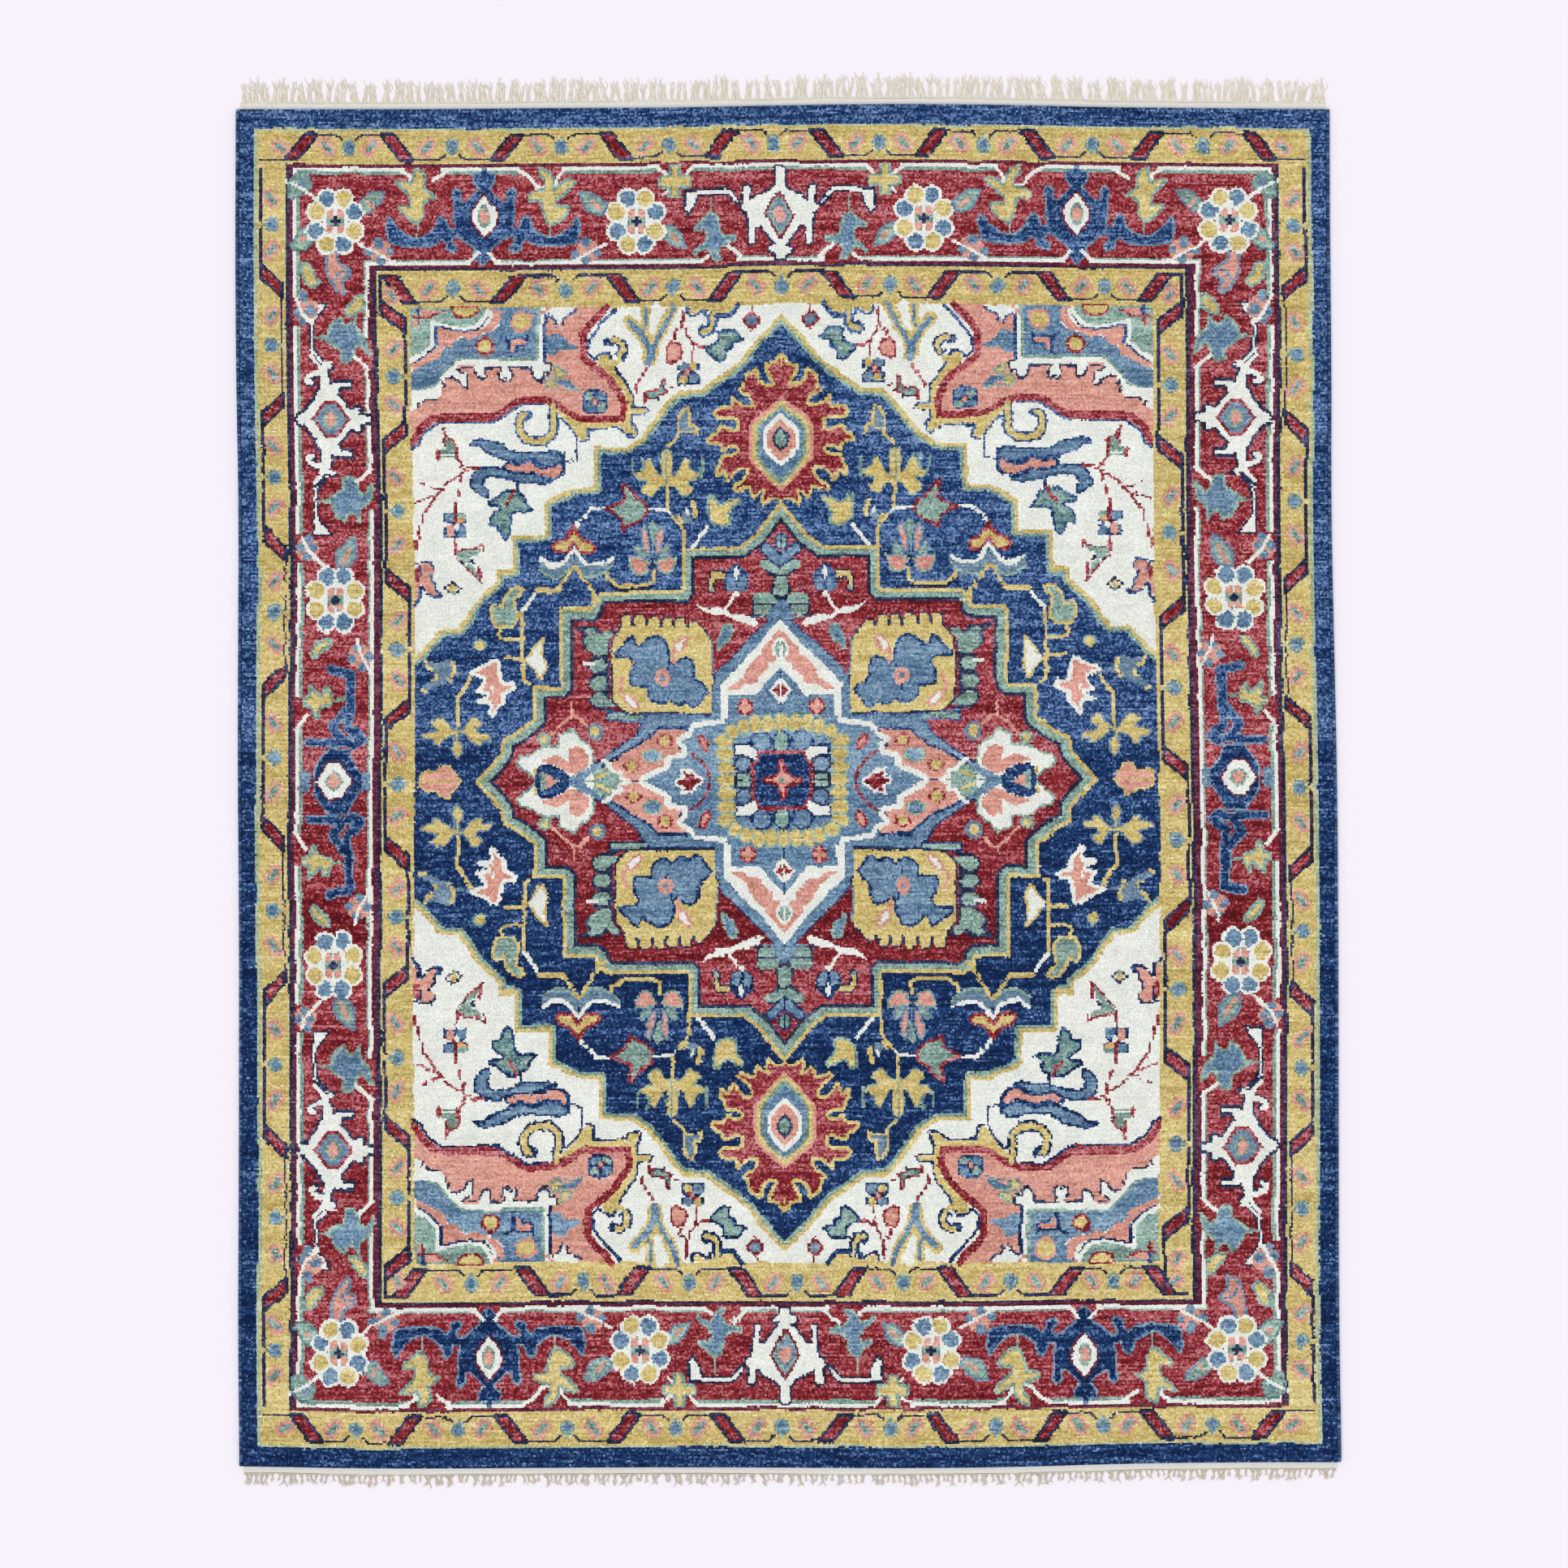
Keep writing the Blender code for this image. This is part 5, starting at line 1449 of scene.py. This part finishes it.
def tube(path, radii, sides, start=0, turn=0.0):
    """Points and faces of a closed tube along a path. The radii hold one value a ring, or one a point."""
    path = np.asarray(path, float)
    ahead = np.gradient(path, axis=0)
    ahead /= np.linalg.norm(ahead, axis=1)[:, None]
    side = np.cross(ahead, (0, 0, 1.0))
    short = np.linalg.norm(side, axis=1) < 1e-6
    side[short] = (1, 0, 0)
    side /= np.linalg.norm(side, axis=1)[:, None]
    up = np.cross(side, ahead)
    angles = turn + np.linspace(0, 2 * np.pi, sides, endpoint=False)
    radii = np.asarray(radii, float)
    radii = np.broadcast_to(radii[:, None] if radii.ndim == 1 else radii, (len(path), sides))
    ring = np.cos(angles)[None, :, None] * side[:, None] + np.sin(angles)[None, :, None] * up[:, None]
    points = (path[:, None] + ring * radii[..., None]).reshape(-1, 3)
    rings, around = np.mgrid[0:len(path) - 1, 0:sides]
    a, b = rings * sides + around, rings * sides + (around + 1) % sides
    faces = (np.stack([a, a + sides, b + sides, b], axis=-1).reshape(-1, 4) + start).tolist()
    last = (len(path) - 1) * sides + start
    faces.append([start + k for k in range(sides)])
    faces.append([last + k for k in reversed(range(sides))])
    return points, faces


def make_selvedge(side, way, wool, cotton):
    """Edge cords of three laid strands, and the wool wound over them along the whole side."""
    centre = way * (COLUMNS * KNOT / 2 + 0.0003 + WRAP_RADIUS)
    half = ROWS * KNOT / 2
    sides, step, winding = 10, 0.0008, 0.0034
    along = np.arange(-half, half + step / 2, step)
    slack = smooth(rng.normal(size=len(along)), 40, 0)
    turns = along / winding + 0.25 * slack
    angles = np.linspace(0, 2 * np.pi, sides, endpoint=False)
    ridge = np.abs(np.sin(math.pi * turns[:, None] + angles[None, :] / 2)) ** 0.8
    radii = (WRAP_RADIUS - 0.0002) * (0.88 + 0.12 * ridge) * (1 + 0.012 * slack[:, None])
    path = np.stack([np.full(len(along), centre), along, np.full(len(along), WRAP_CENTRE)], axis=1)
    outer, faces = tube(path, radii, sides)
    faces = faces[:-2]
    inner_path = path[::len(path) // 60]
    inner_path[-1] = path[-1]
    inner, inner_faces = tube(inner_path, np.full(len(inner_path), 0.0029), sides, start=len(outer))
    faces += [face[::-1] for face in inner_faces[:-2]]
    for first, second, flip in ((0, len(outer), False), (len(outer) - sides,
            len(outer) + len(inner) - sides, True)):
        for k in range(sides):
            quad = [first + k, first + (k + 1) % sides, second + (k + 1) % sides, second + k]
            faces.append(quad[::-1] if flip else quad)
    # Painted light on the windings: their colour runs between the navy's shaded and lit tones, band by band and
    # face by face, as painted glints. The inner tube and the end rings keep the shaded tone, as painted shade.
    dark, navy, pale = (np.array(linear(code)) for code in YARN_TONES_FOR_DYE_AND_LIGHT["navy"])
    every = np.arange(0, len(along), 4)
    light = np.interp(np.arange(len(along) - 1), every, 0.45 * rng.normal(size=len(every)))
    light = np.repeat(light, sides) + 0.35 * rng.normal(size=(len(along) - 1) * sides)
    light = np.clip(light, -1, 1.3)[:, None]
    shades = np.full((len(faces), 3), dark)
    shades[:len(light)] = np.where(light < 0, navy + light * (navy - dark), navy + light * (pale - navy))
    new_piece(f"selvedge_wrap_{side}", np.vstack([outer, inner]), faces, wool, shades)
    points, faces = [], []
    along = np.linspace(-half, half, 1200)
    for strand in range(3):
        turn = 2 * np.pi * (along / 0.014 + strand / 3)
        strand_path = np.stack([centre + 0.0013 * np.cos(turn), along, WRAP_CENTRE + 0.0013 * np.sin(turn)],
                axis=1)
        more, more_faces = tube(strand_path, np.full(len(along), 0.00122), 5, start=sum(map(len, points)))
        points.append(more)
        faces += more_faces
    new_piece(f"selvedge_core_{side}", np.vstack(points), faces, cotton)


def make_kilim(end, way, cotton):
    """A plain-woven strip: fat cotton wefts over and under the warps, so close that the warps are hidden."""
    half = COLUMNS * KNOT / 2
    start = ROWS * KNOT / 2 + 0.0003
    wefts, per_weft = 8, 2
    across = np.arange(-half, half + 0.0005, KNOT / 2)
    along = np.linspace(0, KILIM_WIDTH - 0.0003, wefts * per_weft + 1)
    grid_x, grid_y = np.meshgrid(across, along)
    pitch = (KILIM_WIDTH - 0.0003) / wefts
    number = np.floor(grid_y / pitch * 0.9999)
    over = np.cos(math.pi * grid_x / (KNOT / 2) + math.pi * number)
    bulge = np.abs(np.sin(math.pi * grid_y / pitch))
    wander = 0.0004 * smooth(smooth(rng.normal(size=grid_x.shape), 30, 1), 3, 0) * (grid_y > 0)
    middle, half_thick = (KILIM_LOW + KILIM_HIGH) / 2, (KILIM_HIGH - KILIM_LOW) / 2
    points, faces = [], []
    rows, columns = grid_x.shape
    for face_up in (1, -1):
        rise = half_thick * (0.76 + 0.10 * face_up * over + 0.12 * bulge)
        height = middle + face_up * rise
        points.append(np.stack([grid_x, way * (start + grid_y) + way * wander, height], axis=-1).reshape(-1,
                3))
    a, b = np.mgrid[0:rows - 1, 0:columns - 1]
    cell = (a * columns + b).ravel()
    quad = np.stack([cell, cell + 1, cell + columns + 1, cell + columns], axis=1)
    below = quad[:, ::-1] + rows * columns
    walls = []
    count = rows * columns
    ring = [*range(columns), *range(2 * columns - 1, count, columns), *range(count - 2, count - columns - 1,
            -1),
            *range(count - 2 * columns, 0, -columns)]
    for first, second in zip(ring, ring[1:] + ring[:1]):
        walls.append([second, first, first + count, second + count])
    faces = quad.tolist() + below.tolist() + walls
    if way < 0:
        faces = [face[::-1] for face in faces]
    new_piece(f"kilim_{end}", np.vstack(points), faces, cotton)


def knot_ball(centre, radius, start):
    """An overhand knot, pulled tight: a lump with the yarn's turns showing round it."""
    rings, sides = 5, 6
    t = np.linspace(0.12, 0.88, rings) * np.pi
    path = np.stack([np.full(rings, centre[0]), centre[1] - radius * np.cos(t), np.full(rings, centre[2])],
            axis=1)
    twist = 1 + 0.18 * np.sin(3 * np.linspace(0, 2 * np.pi, sides, endpoint=False)[None, :] + 2.2 * t[:,
            None])
    return tube(path, radius * np.sin(t)[:, None] * twist, sides, start)


def make_tassel(number, length, knotted):
    """One bunch of warp ends, from the origin towards +Y, drawn once and repeated along the fringe."""
    points, faces, count = [], [], 0
    strands = 5 if knotted else 6
    for strand in range(strands):
        t = np.linspace(0, 1, 9 if knotted else 13)
        spread = (strand - (strands - 1) / 2) / strands
        reach = length * rng.uniform(0.72, 1.0)
        wave = rng.uniform(0.6, 1.9) * 0.0028 * np.sin(2 * np.pi * (t * rng.uniform(0.7,
                1.5) + rng.uniform(0, 1))) * t
        lean = rng.uniform(-0.12, 0.12) * length
        gather = spread * (0.012 * (1 - t) ** 2 + (0.009 if knotted else 0.013) * t ** 1.4)
        if knotted:
            gather = spread * np.interp(t, (0, 0.34, 0.5, 1), (0.017, 0.0012, 0.002, 0.011))
        x = gather + wave + lean * t ** 2
        z = 0.0016 + 0.0008 * np.sin(2 * np.pi * (t * 1.3 + rng.uniform(0,
                1))) * (1 - 0.5 * t) + 0.0005 * (strand % 2)
        path = np.stack([x, reach * t, np.maximum(z, 0.0009)], axis=1)
        thick = np.interp(t, (0, 0.85, 1), (0.00115, 0.00105, 0.0006)) * rng.uniform(0.85, 1.15)
        more, more_faces = tube(path, thick, 5, count)
        points.append(more)
        faces += more_faces
        count += len(more)
    if knotted:
        more, more_faces = knot_ball((0, 0.34 * length, 0.0027), 0.0021, count)
        points.append(more)
        faces += more_faces
    mesh = bpy.data.meshes.new(f"tassel_{number}")
    mesh.from_pydata(np.vstack(points), [], faces)
    return bpy.data.objects.new(f"tassel_{number}", mesh)


def fringe_tree(material):
    """Geometry nodes that set a tassel, picked and turned by chance, on each point of a row."""
    tree = bpy.data.node_groups.new("tassel_row", "GeometryNodeTree")
    for name, kind in (("Row", "NodeSocketGeometry"), ("Tassels", "NodeSocketCollection"), ("Lean",
            "NodeSocketFloat"),
                       ("Shortest", "NodeSocketFloat"), ("Seed", "NodeSocketInt")):
        tree.interface.new_socket(name, in_out="INPUT", socket_type=kind)
    tree.interface.new_socket("Fringe", in_out="OUTPUT", socket_type="NodeSocketGeometry")
    given = add(tree, "NodeGroupInput").outputs
    tassels = add(tree, "GeometryNodeCollectionInfo", {"Collection": given["Tassels"],
            "Separate Children": True,
                                                       "Reset Children": True})
    against = add(tree, "ShaderNodeMath", {0: given["Lean"], 1: -1.0}, operation="MULTIPLY")
    low, high = (add(tree, "ShaderNodeCombineXYZ",
            {"Z": value}).outputs[0] for value in (against.outputs[0], given["Lean"]))
    turn = add(tree, "FunctionNodeRandomValue", data_type="FLOAT_VECTOR")
    size = add(tree, "FunctionNodeRandomValue", data_type="FLOAT")
    tree.links.new(low, turn.inputs[0])
    tree.links.new(high, turn.inputs[1])
    tree.links.new(given["Shortest"], size.inputs[2])
    size.inputs[3].default_value = 1.0
    for chance in (turn, size):
        tree.links.new(given["Seed"], chance.inputs["Seed"])
    placed = add(tree, "GeometryNodeInstanceOnPoints", {
        "Points": given["Row"], "Instance": tassels.outputs[0], "Pick Instance": True,
        "Rotation": turn.outputs[0],
        "Scale": size.outputs[1]})
    solid = add(tree, "GeometryNodeRealizeInstances", {"Geometry": placed.outputs[0]})
    painted = add(tree, "GeometryNodeSetMaterial", {"Geometry": solid.outputs[0], "Material": material})
    out = add(tree, "NodeGroupOutput")
    tree.links.new(painted.outputs[0], out.inputs[0])
    return tree


def make_fringe(end, way, length, pitch, lean, shortest, tree, cotton):
    """Warp ends left past the kilim: twisted bunches along a twined cord that stops the weft slipping off."""
    knotted = end == "near"
    half = COLUMNS * KNOT / 2 - 0.006
    start = ROWS * KNOT / 2 + 0.0003 + KILIM_WIDTH
    shelf = bpy.data.collections.new(f"tassels_{end}")
    for number in range(9):
        shelf.objects.link(make_tassel(number, length, knotted))
    count = int(2 * half / pitch)
    across = np.linspace(-half, half, count) + rng.normal(size=count) * pitch * 0.16
    mesh = bpy.data.meshes.new("row")
    mesh.from_pydata(np.stack([np.clip(across, -half, half), np.full(count, 0.0018), np.zeros(count)],
            axis=1), [], [])
    row = bpy.data.objects.new("row", mesh)
    bpy.context.scene.collection.objects.link(row)
    grow = row.modifiers.new("tassel_row", "NODES")
    grow.node_group = tree
    settings = {"Tassels": shelf, "Lean": lean, "Shortest": shortest, "Seed": 3 if knotted else 8}
    for item in tree.interface.items_tree:
        if item.name in settings:
            grow[item.identifier] = settings[item.name]
    grown = row.evaluated_get(bpy.context.evaluated_depsgraph_get())
    bunches = bpy.data.meshes.new_from_object(grown)
    row.modifiers.remove(grow)
    points = np.empty(len(bunches.vertices) * 3)
    bunches.vertices.foreach_get("co", points)
    points = points.reshape(-1, 3)
    faces = [list(face.vertices) for face in bunches.polygons]
    bpy.data.objects.remove(row)
    # The twined cord: two strands wound round each other along the last weft.
    along = np.linspace(-half - 0.005, half + 0.005, 1800)
    parts = [points]
    for strand in range(2):
        turn = 2 * np.pi * (along / 0.007 + strand / 2)
        path = np.stack([along, 0.0012 + 0.0006 * np.cos(turn), 0.0018 + 0.0006 * np.sin(turn)], axis=1)
        more, more_faces = tube(path, np.full(len(along), 0.0008), 5, start=sum(map(len, parts)))
        parts.append(more)
        faces += more_faces
    points = np.vstack(parts)
    points[:, 1] = np.clip(points[:, 1], 0.0001, None)
    points[:, 1] = way * (start + points[:, 1])
    if way < 0:
        faces = [face[::-1] for face in faces]
    for mesh in [bunches] + [tassel.data for tassel in shelf.objects]:
        bpy.data.meshes.remove(mesh)
    bpy.data.collections.remove(shelf)
    return new_piece(f"fringe_{end}", points, faces, cotton)


# ---- The rug ----

knots, pile_pieces = weave_charts()
pile_colours = tint_and_light_knots(knots)
back_colours = tint_and_light_knots(knots, spread_of_dye_and_light=0.5)
heights = PILE_TOP - 0.0003 + 0.00022 * rng.normal(size=(ROWS + 1, COLUMNS + 1)).clip(-2.4, 2.4)
# Cut pile leans this way and that, so that no knot stays a true square. The rug's own edge stays straight.
sway = 0.00050 * rng.normal(size=(2, ROWS + 1, COLUMNS + 1)).clip(-1.8, 1.8)
sway[:, [0, -1], :] = 0
sway[:, :, [0, -1]] = 0

wool = knotted_wool()
for name, (mask, slot) in pile_pieces.items():
    make_pile(name, mask, pile_colours, heights, sway, wool)
foundation = make_foundation(knots, back_colours, knot_backs())
warp_cotton = spun_cotton("twisted_cotton_warp", "#FFF9EB", 0.0016)
# The near fringe's cotton is darker than the far fringe's: painted shade.
shaded_cotton = spun_cotton("painted_shade_cotton_warp", "#E6DECF", 0.0016)
weft_cotton = spun_cotton("plain_woven_cotton", "#FEFEFC", 0.0012)
winding_wool = overcast_wool()
for side, way in (("left", -1), ("right", 1)):
    make_selvedge(side, way, winding_wool, warp_cotton)
for end, way in (("far", 1), ("near", -1)):
    make_kilim(end, way, weft_cotton)
tassels = fringe_tree(warp_cotton)
make_fringe("far", 1, 0.0590, 0.0135, 0.22, 0.74, tassels, warp_cotton)
make_fringe("near", -1, 0.0300, 0.0120, 0.32, 0.55, fringe_tree(shaded_cotton), shaded_cotton)

# ---- Floor, light and camera ----

scene = bpy.context.scene
floor_material, tree = new_material("pale_studio_floor")
paint = add(tree, "ShaderNodeBsdfPrincipled", {"Base Color": (*linear("#F7F2FB"), 1), "Roughness": 1.0,
                                               "Specular IOR Level": 0.0})
add(tree, "ShaderNodeOutputMaterial", {"Surface": paint.outputs["BSDF"]})
mesh = bpy.data.meshes.new("floor")
mesh.from_pydata([(x * 60, y * 60, -0.0006) for x, y in ((-1, -1), (1, -1), (1, 1), (-1, 1))], [], [(0, 1,
        2, 3)])
mesh.materials.append(floor_material)
floor = bpy.data.objects.new("floor", mesh)
scene.collection.objects.link(floor)

world = bpy.data.worlds.new("studio_walls")
scene.world = world
world.use_nodes = True
world.node_tree.nodes["Background"].inputs["Color"].default_value = (1, 1, 1, 1)
world.node_tree.nodes["Background"].inputs["Strength"].default_value = 0.64

lamp = bpy.data.lights.new("large_soft_box", "SUN")
lamp.energy = 1.32
lamp.angle = math.radians(40)
key = bpy.data.objects.new("large_soft_box", lamp)
key.rotation_euler = (math.radians(24), math.radians(-18), 0)
scene.collection.objects.link(key)

lens = bpy.data.cameras.new("camera")
lens.sensor_width, lens.lens = 36, 85
lens.clip_end = 100
camera = bpy.data.objects.new("camera", lens)
scene.collection.objects.link(camera)
scene.camera = camera
PICTURE_WIDTH = 3.488  # metres of floor across the picture
height = PICTURE_WIDTH / 2 / (lens.sensor_width / 2 / lens.lens)
camera.location = (-0.006, 0.002 - height * math.sin(math.radians(1.0)),
        height * math.cos(math.radians(1.0)))
camera.rotation_euler = (math.radians(1.0), 0, 0)
scene.view_settings.view_transform = "Standard"
